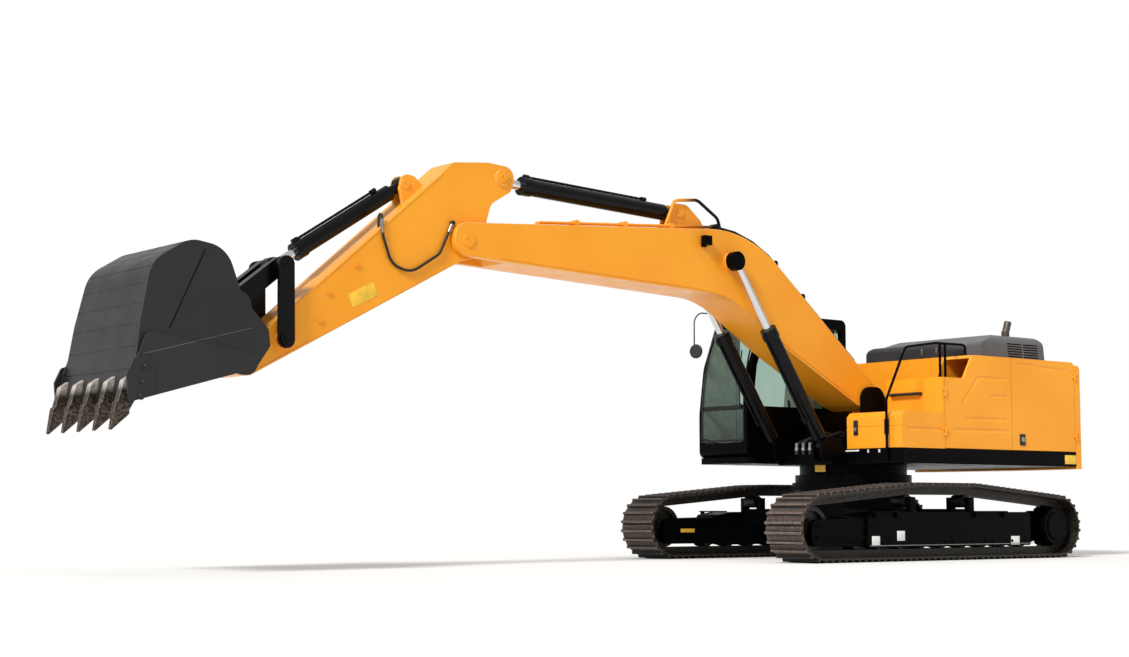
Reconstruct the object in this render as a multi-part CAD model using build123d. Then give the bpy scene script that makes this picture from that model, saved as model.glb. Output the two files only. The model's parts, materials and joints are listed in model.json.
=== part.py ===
from build123d import *
from math import atan2, cos, hypot, pi, radians, sin, sqrt, tan
import os

# Crawler excavator. Lengths are in millimetres, +X is forward, +Y is the machine's left, +Z is up.
# Places are first given from the swing centre on the ground, and the whole machine is then moved
# along X so that the origin is at the middle of its footprint.

# Undercarriage
TUMBLER_DISTANCE = 4464      # idler axle to sprocket axle
TRACK_GAUGE = 2650
SHOE_WIDTH = 600
SHOE_COUNT = 50              # on each side
SHOE_THICKNESS = 24
GROUSER_HEIGHT = 30
SHOE_GROOVE = 8              # depth of the gap between shoes
SHOE_PHASE = 100             # first shoe's start, past the sprocket's lowest point
TRACK_END_RADIUS = 412       # over the grousers at the ends
TRACK_CROWN_HEIGHT = 965     # over the grousers at the carrier rollers
CARRIER_SPREAD = 1110        # from one carrier roller to the other
CHAIN_WIDTH = 210
CHAIN_THICKNESS = 95
FRAME_WIDTH = 420
TOW_X = 850                  # tow lugs' holes, ahead of and behind the swing centre
TOW_Z = 540
TOW_LUG = 50                 # thickness of a tow lug, which lies flat
TOW_RADIUS = 32
TOW_HALF = 90
BEARING_RADIUS = 760

# Upper structure
DECK_BOTTOM = 1207
DECK_TOP = 1400
PANEL_TOP = 2620
STEP_TOP = 2310              # lower roof over the step, ahead of the slope
ROOF_STEP_X = (-740, -555)   # top and foot of the slope between the two roofs
HALF_WIDTH = 1430
PANEL_THICKNESS = 40
FRONT_FACE_X = 640
STEP_FACE_X = -130
TOOL_BOX_TOP = 1860
TOOL_BOX_INNER = 500
DOOR_SEAM_X = -1505
RIGHT_SEAM_X = -1705
TAIL_RADIUS = 3290
TAIL_SIDE = 115              # straight side of the counterweight, ahead of its round part
REAR_SEAM_X = TAIL_SIDE - round(sqrt(TAIL_RADIUS ** 2 - HALF_WIDTH ** 2))
SEAM_GAP = 8                 # between a door and its neighbours
RAIL_Y = 1230
RAIL_RADIUS = 17
TAIL_RIM = 60                # rounding of the tail's upper rim
LIFT_EYE_X = 230 - TAIL_RADIUS
LIFT_EYE_Y = 700
LIFT_EYE_RADIUS = 35
DOOR_GAP = 2                 # between a closed door's inner face and the fixed walls
INNER_WALL_Y = (940, 960)    # walls between the side compartments and the engine bay
CROSS_WALL_X = -720          # front face of the wall ahead of the engine bay
BEAM_HALF = 480              # half width of the middle beam between the decks
COUNTERWEIGHT_DROP = 30      # its bottom, below the deck's
COUNTERWEIGHT_TOP = PANEL_TOP - 40
HINGE_PIN = 6
HINGE_RADIUS = 12
HINGE_LENGTH = 110
HINGE_STRAP = 55             # how far a strap reaches from its pin
SIDE_HINGE_Y = HALF_WIDTH + HINGE_RADIUS
DOOR_HINGE_HEIGHTS = (1620, 2120)
REAR_HINGE_HEIGHTS = (1620, 2420)
LEFT_HINGE_X = STEP_FACE_X - PANEL_THICKNESS - SEAM_GAP / 2
REAR_HINGE_X = REAR_SEAM_X + SEAM_GAP / 2
# Pressed lines of the left doors, as (x, z)
FRONT_DOOR_CREASES = [[(-320, 1640), (-1440, 1655)],
                      [(-560, 1790), (-1400, 1800)],
                      [(-520, 1990), (-830, 2330), (-1400, 2330)],
                      [(-1060, 2100), (-1400, 2100)]]
REAR_DOOR_CREASES = [[(-1640, 2545), (-2640, 2500)]]
HOOD_HALF = 960
HOOD_WALL = 30
HOOD_FRONT = -1500
HOOD_TOP = 2990
HOOD_SHOULDER = 2860         # top of the hood's front, where its slope starts
HOOD_SLOPE = 380             # length of that slope
HOOD_CHAMFER = 70
COVER_FRONT = -1000
COVER_HALF = 660
COVER_TOP = 2850
HOOD_HINGE_Y = 620
HOOD_HINGE = (REAR_SEAM_X + 2, PANEL_TOP + 18)
GRILLE_PLACES = (REAR_SEAM_X + 148, REAR_SEAM_X + 488)
GRILLE_LENGTH = 310
GRILLE_DEPTH = 90            # into the hood's rounded side
GRILLE_SLOTS = 6
GRILLE_LOW = 2690
GRILLE_PITCH = 34
ENGINE_REAR_GAP = 148        # between the counterweight and the engine
ENGINE_HALF = 460
ENGINE_FOOT = 60             # sunk between the deck's beams
ENGINE_TOP = 2300
EXHAUST = (REAR_SEAM_X + 428, 620)
EXHAUST_BEND = 60            # from the hood's top up to where the stack leans back
EXHAUST_LEAN = 60
EXHAUST_HEIGHT = 220

# Cab, on the machine's right
CAB_INNER_Y = -540
CAB_OUTER_Y = -1450
CAB_WALL = 60
CAB_FLOOR = 1310
CAB_ROOF = 3200
CAB_REAR_X = -470
GLASS = 8
MIRROR_X = 1625
RIGHT_WALL_X = CAB_REAR_X - 80
RIGHT_HINGE_X = RIGHT_WALL_X - SEAM_GAP / 2
CAB_SIDE = [(CAB_REAR_X, CAB_FLOOR, 40), (CAB_REAR_X, CAB_ROOF, 90), (1060, CAB_ROOF, 200),
            (1330, 2500, 500), (1410, 1900, 200), (1410, CAB_FLOOR, 90)]
FRONT_BAR_Z = 1960           # between the windscreen and its lower pane
DOOR_REAR_X = -330
DOOR_FRONT_X = 790
DOOR_LOW = 1390
DOOR_HIGH = 3080
CAB_HINGE_Y = CAB_OUTER_Y - HINGE_RADIUS
CAB_HINGE_HEIGHTS = (1560, 2240, 2920)
DOOR_OUTLINE = [(DOOR_REAR_X, DOOR_LOW, 60), (DOOR_REAR_X, DOOR_HIGH, 60),
                (DOOR_FRONT_X, DOOR_HIGH, 120), (DOOR_FRONT_X, DOOR_LOW, 60)]
MIRROR_DROP = 475            # from the roof down to the mirror's middle

# Front attachment: pins as (x, z)
BOOM_FOOT = (20, 2040)
BOOM_TIP = (6450, 3608)
ARM_END = (9200, 2140)
GUIDE_PIN = (8754, 2378)
LINK_TOP = (8765, 3155)
BUCKET_EAR = (9290, 2740)
BOOM_CYL_BASE = (1000, 1440)
BOOM_CYL_EYE = (2500, 3680)
ARM_CYL_BASE = (3130, 4250)
ARM_CYL_EYE = (5930, 4375)
BUCKET_CYL_BASE = (7160, 4190)

BOOM_PIPE_Y = 180
# Routes as (x, z) points: pipes on the boom, their loop at the arm cylinder, hose on the arm's side
BOOM_PIPE_ROUTE = ((230, 2520), (198, 2565), (2148, 4148), (5430, 3913), (5426, 3860))
BOOM_PIPE_SWEEP = 1685       # radius that the pipes follow round the boom's bend
BOOM_PIPE_BENDS = 4          # small bends that make it up
ARM_LOOP_ROUTE = ((2470, 4040), (2530, 4240), (2870, 4440), (3250, 4400), (3430, 4000))
ARM_HOSE_ROUTE = ((6630, 3790), (6800, 3430), (7180, 3190), (7430, 3270), (7540, 3560))
LOOP_RADIUS = 20
ARM_HOSE_RADIUS = 15
BOOM_HALF = 310
BOOM_WALL = 20
ARM_HALF = 215
ARM_WALL = 16
BOOM_EAR_GAP = 10            # between the arm's boss and the boom's tip ears
BUCKET_HALF_LOW = 800         # half width at the lip
BUCKET_HALF_HIGH = 685        # half width at the top
BUCKET_WALL = 30
TOOTH_COUNT = 5
TOOTH_SPAN = 1430            # first tooth to last
TOOTH_TIP_X = 10880
TOOTH_HALF = 42              # half width of a tooth at its root
TIP_HALF = 16
SIDE_PLATE = 12
CUTTER = 22

PIN_CLEARANCE = 0.3
HOSE_RADIUS = 22
PIPE_RADIUS = 15
CREASE_RADIUS = 40           # of the round grooves pressed into the doors
CREASE_DEPTH = 10
BEARING_TOP = DECK_BOTTOM - PIN_CLEARANCE
SIDE_GAP = 6                 # beside an eye or a link
ROLLER_RADIUS = 95
MOTOR_RADIUS = 160
FRAME_BOTTOM = 170
FRAME_TOP = 600
CHANNEL_HALF = 125           # half width of the channel that the rollers run in
YOKE_START = 832             # from the idler axle back to the yoke
DRIVE_START = 530            # from the sprocket axle forward to the frame
YOKE_INNER = 112
YOKE_OUTER = 172
STEP_PLACES = ((877, 1288), (-1165, -572))
STEP_OUT = 65
DRIVE_NECK_RADIUS = 190
DRIVE_COVER_RADIUS = 245
DRIVE_REACHES = (130, 220, 240)   # from the track's middle out to the neck, the cover and its cap
BOOM_CYL_Y = 424
BOOM_CYL_EYE_HALF = 50
ARM_BOSS_HALF = 215
ARM_CYL_EYE_HALF = 60
TIP_PIN = 62
END_PIN = 60
TOP_PIN = 48
GUIDE_PIN_RADIUS = 45
GUIDE_INNER = 284
GUIDE_OUTER = 324
LINK_FORK_INNER = 78
LINK_FORK_OUTER = 200
EAR_INNER = ARM_HALF + SIDE_GAP
EAR_OUTER = EAR_INNER + 45
BUCKET_CYL_EYE_HALF = 60

# Side outlines, each corner as (x, z, rounding)
BOOM_SIDE = [(-170, 2200, 165), (-110, 1870, 160), (230, 1985, 200), (1500, 2640, 500),
             (2510, 3259, 1200), (6310, 3420, 100), (6640, 3440, 170), (6630, 3800, 170),
             (6130, 3828, 120), (2160, 4112, 1650)]
ARM_SIDE = [(6275, 3425, 170), (6480, 3385, 60), (9130, 1985, 140), (9350, 2010, 140), (9330, 2290, 130),
            (8900, 2510, 80), (6600, 4480, 60), (6120, 4530, 200), (5730, 4500, 130),
            (5800, 4230, 120), (6085, 4060, 150)]
# The bucket's starts at the lip and goes round the back to the hinge
BUCKET_SIDE = [(10715, 1640, 0), (10600, 2460, 500), (10480, 3010, 350), (10060, 3270, 300),
               (9660, 3210, 300), (9500, 2730, 200), (9215, 2420, 60), (9200, 2250, 60), (9370, 2020, 120)]
# Near where each gap between wear strips crosses the back
STRIP_EDGES = ((10670, 1960), (10640, 2180), (10610, 2400), (10560, 2600), (10530, 2800), (10470, 2960),
               (10310, 3120), (10140, 3220))
STRIP_GAP = 7
LIP = BUCKET_SIDE[0]
BACK = BUCKET_SIDE[1]


# Shapes from corners

def outline(corners):
    """Flat face through corners of (across, up, corner radius)."""
    ends = []
    for number, (x, y, radius) in enumerate(corners):
        here = Vector(x, y)
        if not radius:
            ends.append((here, here, here, 0))
            continue
        back = (Vector(*corners[number - 1][:2]) - here).normalized()
        ahead = (Vector(*corners[(number + 1) % len(corners)][:2]) - here).normalized()
        half = radians(back.get_angle(ahead)) / 2
        reach = radius / tan(half)
        middle = here + (back + ahead).normalized() * (radius / sin(half) - radius)
        ends.append((here + back * reach, middle, here + ahead * reach, radius))
    edges = []
    for number, (start, middle, end, radius) in enumerate(ends):
        if radius:
            edges.append(ThreePointArc(start, middle, end))
        edges.append(Line(end, ends[(number + 1) % len(ends)][0]))
    face = Face(Wire(edges))
    return face if face.normal_at().Z > 0 else -face


def side_plane(y):
    """Plane across which local (x, y) are the machine's (x, z)."""
    return Plane((0, y, 0), (1, 0, 0), (0, -1, 0))


def side_slab(corners, low, high):
    """Outline in X and Z, as thick as from y = low to y = high."""
    return side_plane(high).location * extrude(outline(corners), high - low, dir=(0, 0, 1))


def plan_slab(corners, low, high):
    """Outline in X and Y, from z = low to z = high."""
    return Pos(0, 0, low) * extrude(outline(corners), high - low, dir=(0, 0, 1))


def front_slab(corners, low, high):
    """Outline in Y and Z, from x = low to x = high."""
    plane = Plane((low, 0, 0), (0, 1, 0), (1, 0, 0))
    return plane.location * extrude(outline(corners), high - low, dir=(0, 0, 1))


def block(x, y, z):
    """Box from (low, high) along each axis."""
    return Pos(sum(x) / 2, sum(y) / 2, sum(z) / 2) * Box(x[1] - x[0], y[1] - y[0], z[1] - z[0])


def cross(pin, radius, low, high):
    """Cylinder along Y at a pin's (x, z), from y = low to y = high."""
    return Pos(pin[0], (low + high) / 2, pin[1]) * Rot(90, 0, 0) * Cylinder(radius, high - low)


def ring(pin, outer, inner, low, high):
    return cross(pin, outer, low, high) - cross(pin, inner, low - 1, high + 1)


def both(shape):
    """The shape and its mirror on the machine's other side."""
    return shape + mirror(shape, Plane.XZ)


def rectangle(low, high, radius=0):
    return [(low[0], low[1], radius), (high[0], low[1], radius),
            (high[0], high[1], radius), (low[0], high[1], radius)]


def bar(start, end, radius):
    """Round bar from one point in space to another."""
    axis = Vector(*end) - Vector(*start)
    return Plane(Vector(*start), z_dir=axis).location * Cylinder(
        radius, axis.length, align=(Align.CENTER, Align.CENTER, Align.MIN))


def pipe(points, radii, radius):
    """Round pipe along straight runs joined by arcs."""
    made = None
    for edge in FilletPolyline(*points, radius=radii).edges():
        section = Plane(edge @ 0, z_dir=edge % 0) * Circle(radius)
        if edge.geom_type == GeomType.LINE:
            run = extrude(section, edge.length, dir=edge % 0)
        else:
            turn_axis = Axis(edge.arc_center, (edge % 0).cross(edge % 1))
            run = revolve(section, turn_axis, edge.length / edge.radius * 180 / pi)
        made = run if made is None else made + run
    return made


def strut(start, end, width_start, width_end, low, high):
    """Flat link between two pins, round at both ends, from y = low to y = high."""
    dx, dz = end[0] - start[0], end[1] - start[1]
    length = hypot(dx, dz)
    ux, uz = dx / length, dz / length
    corners = []
    for pin, width, away in ((start, width_start, -1), (end, width_end, 1)):
        for side in (-away, away):
            corners.append((pin[0] + (ux * away + uz * side) * width,
                            pin[1] + (uz * away - ux * side) * width, width * 0.98))
    return side_slab(corners, low, high)


# Track loop: where the track's outer line runs, from the end circles over the carrier rollers

IDLER = (TUMBLER_DISTANCE / 2, TRACK_END_RADIUS)
SPROCKET = (-TUMBLER_DISTANCE / 2, TRACK_END_RADIUS)
BAND_OUTER = TRACK_END_RADIUS - GROUSER_HEIGHT
BAND_INNER = BAND_OUTER - SHOE_THICKNESS
CHAIN_INNER = BAND_INNER - CHAIN_THICKNESS
CARRIERS = [(side * CARRIER_SPREAD / 2, TRACK_CROWN_HEIGHT - TRACK_END_RADIUS) for side in (-1, 1)]
CARRIER_RADIUS = 80
TRACK_Y = TRACK_GAUGE / 2


def crown_slope():
    """Angle of the track between an end circle and its carrier roller."""
    run = TUMBLER_DISTANCE / 2 - CARRIER_SPREAD / 2
    return atan2(TRACK_CROWN_HEIGHT - 2 * TRACK_END_RADIUS, run)


def loop_pieces(radius):
    """Straight runs and end arcs of the loop, at a radius from the end axles, in order round it."""
    slope = crown_slope()
    half = TUMBLER_DISTANCE / 2
    crown = TRACK_CROWN_HEIGHT - TRACK_END_RADIUS + radius
    flat = CARRIER_SPREAD / 2
    top = (half + radius * sin(slope), TRACK_END_RADIUS + radius * cos(slope))
    bottom = TRACK_END_RADIUS - radius
    return [("run", (-half, bottom), (half, bottom)),
            ("arc", (half, TRACK_END_RADIUS), (-pi / 2, pi - slope)),
            ("run", top, (flat, crown)),
            ("run", (flat, crown), (-flat, crown)),
            ("run", (-flat, crown), (-top[0], top[1])),
            ("arc", (-half, TRACK_END_RADIUS), (pi / 2 + slope, pi - slope))]


def loop_length():
    return sum(hypot(b[0] - a[0], b[1] - a[1]) if kind == "run" else b[1] * BAND_OUTER
               for kind, a, b in loop_pieces(BAND_OUTER))


def loop_point(distance):
    """Place on the shoes' plates (x, z) and the way on (x, z), so far round the loop."""
    distance %= loop_length()
    for kind, a, b in loop_pieces(BAND_OUTER):
        size = hypot(b[0] - a[0], b[1] - a[1]) if kind == "run" else b[1] * BAND_OUTER
        if distance < size:
            break
        distance -= size
    if kind == "run":
        way = ((b[0] - a[0]) / size, (b[1] - a[1]) / size)
        return (a[0] + way[0] * distance, a[1] + way[1] * distance), way
    angle = b[0] + distance / BAND_OUTER
    return (a[0] + BAND_OUTER * cos(angle), a[1] + BAND_OUTER * sin(angle)), (-sin(angle), cos(angle))


def band(radius, y_low, y_high):
    """Solid with the loop's outline at a radius from the end axles."""
    edges = []
    for kind, a, b in loop_pieces(radius):
        if kind == "run":
            edges.append(Line(a, b))
        else:
            ends = [(a[0] + radius * cos(b[0] + b[1] * part), a[1] + radius * sin(b[0] + b[1] * part))
                    for part in (0, 0.5, 1)]
            edges.append(ThreePointArc(*ends))
    return side_plane(y_high).location * extrude(Face(Wire(edges)), y_high - y_low, dir=(0, 0, 1))


def track(side):
    """One track: linked shoes with two grousers each, on a chain that runs over the wheels."""
    y = side * TRACK_Y
    half = SHOE_WIDTH / 2
    pitch = loop_length() / SHOE_COUNT
    # One shoe's outline: (share of the pitch, height over the plate)
    profile = [(0.02, -SHOE_GROOVE), (0.05, 0), (0.10, GROUSER_HEIGHT), (0.20, GROUSER_HEIGHT), (0.25, 0),
               (0.55, 0), (0.60, GROUSER_HEIGHT), (0.70, GROUSER_HEIGHT), (0.75, 0), (0.96, 0),
               (0.98, -SHOE_GROOVE)]
    corners = []
    for number in range(SHOE_COUNT):
        for share, up in profile:
            (x, z), way = loop_point((number + share) * pitch + SHOE_PHASE)
            corners.append((x + way[1] * up, z - way[0] * up, 0))
    shoes = side_slab(corners, y - half, y + half) - band(BAND_INNER, y - half - 1, y + half + 1)
    chain_half = CHAIN_WIDTH / 2
    chain = band(BAND_INNER + 2, y - chain_half, y + chain_half)
    chain -= band(CHAIN_INNER, y - chain_half - 1, y + chain_half + 1)
    return shoes + chain


def idlers():
    wheel_radius = CHAIN_INNER - 1
    wheels = None
    for side in (-1, 1):
        y = side * TRACK_Y
        wheel = ring(IDLER, wheel_radius, 60 + PIN_CLEARANCE, y - 80, y + 80)
        wheel -= ring(IDLER, wheel_radius - 55, 110, y + 30, y + 81)
        wheel -= ring(IDLER, wheel_radius - 55, 110, y - 81, y - 30)
        wheels = wheel if wheels is None else wheels + wheel
    return wheels


def final_drives():
    """Sprocket rims and the drive housings that carry them."""
    drives = None
    for side in (-1, 1):
        y = side * TRACK_Y
        rim = cross(SPROCKET, CHAIN_INNER - 1, y - 45, y + 45)
        for number in range(11):
            angle = 2 * pi * (number + 0.5) / 11
            notch = (SPROCKET[0] + CHAIN_INNER * cos(angle), SPROCKET[1] + CHAIN_INNER * sin(angle))
            rim -= cross(notch, 38, y - 46, y + 46)
        outer = y + side * 45
        neck, cover, cap = (y + side * reach for reach in DRIVE_REACHES)
        hub = cross(SPROCKET, DRIVE_NECK_RADIUS, *sorted((outer, neck)))
        hub += cross(SPROCKET, DRIVE_COVER_RADIUS, *sorted((neck, cover)))
        hub += cross(SPROCKET, DRIVE_COVER_RADIUS - 60, *sorted((cover - side, cap)))
        inner = y - side * 45
        motor = cross(SPROCKET, MOTOR_RADIUS, min(inner, y - side * 230), max(inner, y - side * 230))
        drive = rim + hub + motor
        drives = drive if drives is None else drives + drive
    return drives


def roller_places():
    """Track rollers (x, z, radius) and carrier rollers."""
    roller_z = TRACK_END_RADIUS - CHAIN_INNER + ROLLER_RADIUS + 1
    count = 9
    first, last = SPROCKET[0] + 582, IDLER[0] - 752
    places = [(first + (last - first) * n / (count - 1), roller_z, ROLLER_RADIUS) for n in range(count)]
    carrier_z = TRACK_CROWN_HEIGHT - GROUSER_HEIGHT - (BAND_OUTER - CHAIN_INNER) - CARRIER_RADIUS - 1
    places += [(x, carrier_z, CARRIER_RADIUS) for x, _ in CARRIERS]
    return places


def rollers():
    made = None
    for side in (-1, 1):
        y = side * TRACK_Y
        for x, z, radius in roller_places():
            roller = cross((x, z), radius, y - 100, y + 100) + cross((x, z), 34, y - 150, y + 150)
            made = roller if made is None else made + roller
    return made


def track_frame(side):
    """Box beam between the idler's yoke and the final drive, with roller brackets and steps."""
    y = side * TRACK_Y
    half = FRAME_WIDTH / 2
    start, end = SPROCKET[0] + DRIVE_START, IDLER[0] - YOKE_START
    beam = side_slab([(start, FRAME_BOTTOM, 30), (end, FRAME_BOTTOM, 30), (end, FRAME_TOP - 40, 60),
                      (end - 260, FRAME_TOP, 200), (start, FRAME_TOP, 60)], y - half, y + half)
    roller_top = roller_places()[0][1] + ROLLER_RADIUS
    beam -= block((start - 1, end + 1), (y - CHANNEL_HALF, y + CHANNEL_HALF), (0, roller_top + 6))
    # Yoke: two cheeks that hold the idler's axle, each with ribs along its outside
    yoke = None
    for way in (-1, 1):
        near, far = sorted((y + way * YOKE_INNER, y + way * YOKE_OUTER))
        cheek = side_slab([(end - 1, 190, 0), (IDLER[0] + 60, 190, 90), (IDLER[0] + 105, 350, 60),
                           (IDLER[0] + 60, 510, 90), (end - 1, 530, 0)], near, far)
        for z in (285, 415):
            rib = sorted((y + way * (YOKE_OUTER - 1), y + way * (YOKE_OUTER + 22)))
            cheek += block((end - 1, IDLER[0] + 20), rib, (z, z + 26))
        yoke = cheek if yoke is None else yoke + cheek
    yoke += block((end - 1, end + 180), (y - YOKE_OUTER, y + YOKE_OUTER), (roller_top + 6, 520))
    yoke += cross(IDLER, 60, y - YOKE_OUTER, y + YOKE_OUTER)
    # Plate on the machine's inside that carries the final drive
    low, high = sorted((y - side * 175, y - side * 230))
    mount = side_slab([(SPROCKET[0] + 50, 300, 60), (start + 120, 240, 0), (start + 120, 560, 0),
                       (SPROCKET[0] + 50, 560, 60)], low, high)
    mount += cross(SPROCKET, MOTOR_RADIUS + 45, low, high)
    mount -= cross(SPROCKET, MOTOR_RADIUS + PIN_CLEARANCE, low - 1, high + 1)
    frame = beam + yoke + mount
    for x, z, radius in roller_places()[-2:]:
        for way in (-1, 1):
            bracket = sorted((y + way * 110, y + way * 190))
            frame += block((x - 45, x + 45), bracket, (FRAME_TOP - 10, z + 50))
    for x, z, radius in roller_places():
        frame -= cross((x, z), 34 + PIN_CLEARANCE, y - 151, y + 151)
    outer = y + side * half
    for low_x, high_x in STEP_PLACES:
        tread = sorted((outer - side * 40, outer + side * STEP_OUT))
        frame += block((low_x, high_x), tread, (FRAME_TOP - 2, FRAME_TOP + 14))
        for x in (low_x, high_x - 40):
            leg = sorted((outer - side, outer + side * STEP_OUT * 0.6))
            frame += block((x, x + 40), leg, (FRAME_TOP - 70, FRAME_TOP))
    return frame


def car_body():
    """Middle of the undercarriage: a ring seat on a box, with four legs to the track frames."""
    seat = Pos(0, 0, 930) * Cylinder(800, 100)
    centre = Pos(0, 0, 720) * Cylinder(700, 400)
    legs = None
    inner = TRACK_Y - FRAME_WIDTH / 2
    for along in (-1, 1):
        leg = plan_slab([(along * 250, -inner, 0), (along * 950, -inner, 0), (along * 620, 0, 150),
                         (along * 950, inner, 0), (along * 250, inner, 0)], 430, 640)
        legs = leg if legs is None else legs + leg
    body = seat + centre + legs
    for way in (-1, 1):
        body += plan_slab([(way * 500, -TOW_HALF, 0), (way * (TOW_X + TOW_HALF), -TOW_HALF, TOW_HALF * 0.98),
                           (way * (TOW_X + TOW_HALF), TOW_HALF, TOW_HALF * 0.98), (way * 500, TOW_HALF, 0)],
                          TOW_Z - TOW_LUG / 2, TOW_Z + TOW_LUG / 2)
        body -= Pos(way * TOW_X, 0, TOW_Z) * Cylinder(TOW_RADIUS, 2 * TOW_LUG)
    return body


def swing_bearing():
    outer = Pos(0, 0, 1030) * Cylinder(BEARING_RADIUS, 100)
    upper = Pos(0, 0, (1080 + BEARING_TOP) / 2) * Cylinder(BEARING_RADIUS - 60, BEARING_TOP - 1080)
    return outer + upper


# Upper structure

def upper_frame():
    """Main frame: middle beam, side decks and the ears that carry the boom and its cylinders."""
    middle = block((REAR_SEAM_X + 60, 900), (-BEAM_HALF, BEAM_HALF), (DECK_BOTTOM, DECK_TOP - 60))
    left = plan_slab([(REAR_SEAM_X, BEAM_HALF - 1, 0), (FRONT_FACE_X + 40, BEAM_HALF - 1, 0),
                      (FRONT_FACE_X + 40, HALF_WIDTH, 60), (REAR_SEAM_X, HALF_WIDTH, 0)],
                     DECK_BOTTOM, DECK_TOP)
    right = plan_slab([(REAR_SEAM_X, -HALF_WIDTH, 0), (CAB_REAR_X - 40, -HALF_WIDTH, 0),
                       (CAB_REAR_X - 40, -BEAM_HALF + 1, 0), (REAR_SEAM_X, -BEAM_HALF + 1, 0)],
                      DECK_BOTTOM, DECK_TOP)
    cab_shelf = plan_slab([(CAB_REAR_X - 41, CAB_OUTER_Y, 0), (CAB_SIDE[-1][0], CAB_OUTER_Y, 60),
                           (CAB_SIDE[-1][0], -BEAM_HALF + 1, 60), (CAB_REAR_X - 41, -BEAM_HALF + 1, 0)],
                          DECK_BOTTOM + 20, CAB_FLOOR)
    frame = middle + left + right + cab_shelf
    ear_inner = BOOM_HALF + SIDE_GAP
    ear = side_slab([(-700, DECK_TOP - 80, 0), (640, DECK_TOP - 80, 0), (560, 1560, 100),
                     (190, 1900, 120), (190, 2230, 165), (-160, 2230, 165), (-420, 1800, 200)],
                    ear_inner, ear_inner + 50)
    ears = both(ear) + cross(BOOM_FOOT, 65, -ear_inner - 50, ear_inner + 50)
    frame += ears
    for side in (-1, 1):
        y = side * BOOM_CYL_Y
        for edge in (-1, 1):
            inside = y + edge * (BOOM_CYL_EYE_HALF + SIDE_GAP)
            outside = inside + edge * 40
            frame += side_slab([(700, DECK_BOTTOM + 40, 0), (1120, DECK_BOTTOM + 40, 60),
                                (1116, 1548, 114), (884, 1548, 114), (700, DECK_TOP, 0)],
                              *sorted((inside, outside)))
        frame += cross(BOOM_CYL_BASE, 50, y - BOOM_CYL_EYE_HALF - 40, y + BOOM_CYL_EYE_HALF + 40)
    frame += block((700, 905), (-BOOM_CYL_Y - 110, BOOM_CYL_Y + 110), (DECK_BOTTOM + 40, DECK_TOP - 60))
    return frame


def counterweight():
    """Cast tail, round about the swing centre."""
    side_x = -sqrt(TAIL_RADIUS ** 2 - HALF_WIDTH ** 2)
    arc = ThreePointArc((side_x, HALF_WIDTH), (-TAIL_RADIUS, 0), (side_x, -HALF_WIDTH))
    lines = [arc, Line((side_x, -HALF_WIDTH), (REAR_SEAM_X, -HALF_WIDTH)),
             Line((REAR_SEAM_X, -HALF_WIDTH), (REAR_SEAM_X, HALF_WIDTH)),
             Line((REAR_SEAM_X, HALF_WIDTH), (side_x, HALF_WIDTH))]
    low = DECK_BOTTOM - COUNTERWEIGHT_DROP
    weight = Pos(0, 0, low) * extrude(Face(Wire(lines)), COUNTERWEIGHT_TOP - low, dir=(0, 0, 1))
    top = weight.faces().sort_by(Axis.Z)[-1]
    weight = fillet(top.edges().filter_by(GeomType.CIRCLE), TAIL_RIM)
    for side in (-1, 1):
        weight += hinge_pins(REAR_HINGE_X, side * SIDE_HINGE_Y, REAR_HINGE_HEIGHTS, side, -1)
        eye = side * LIFT_EYE_Y
        weight -= Pos(LIFT_EYE_X, eye, PANEL_TOP - 90) * Cylinder(LIFT_EYE_RADIUS, 200)
    return weight


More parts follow.
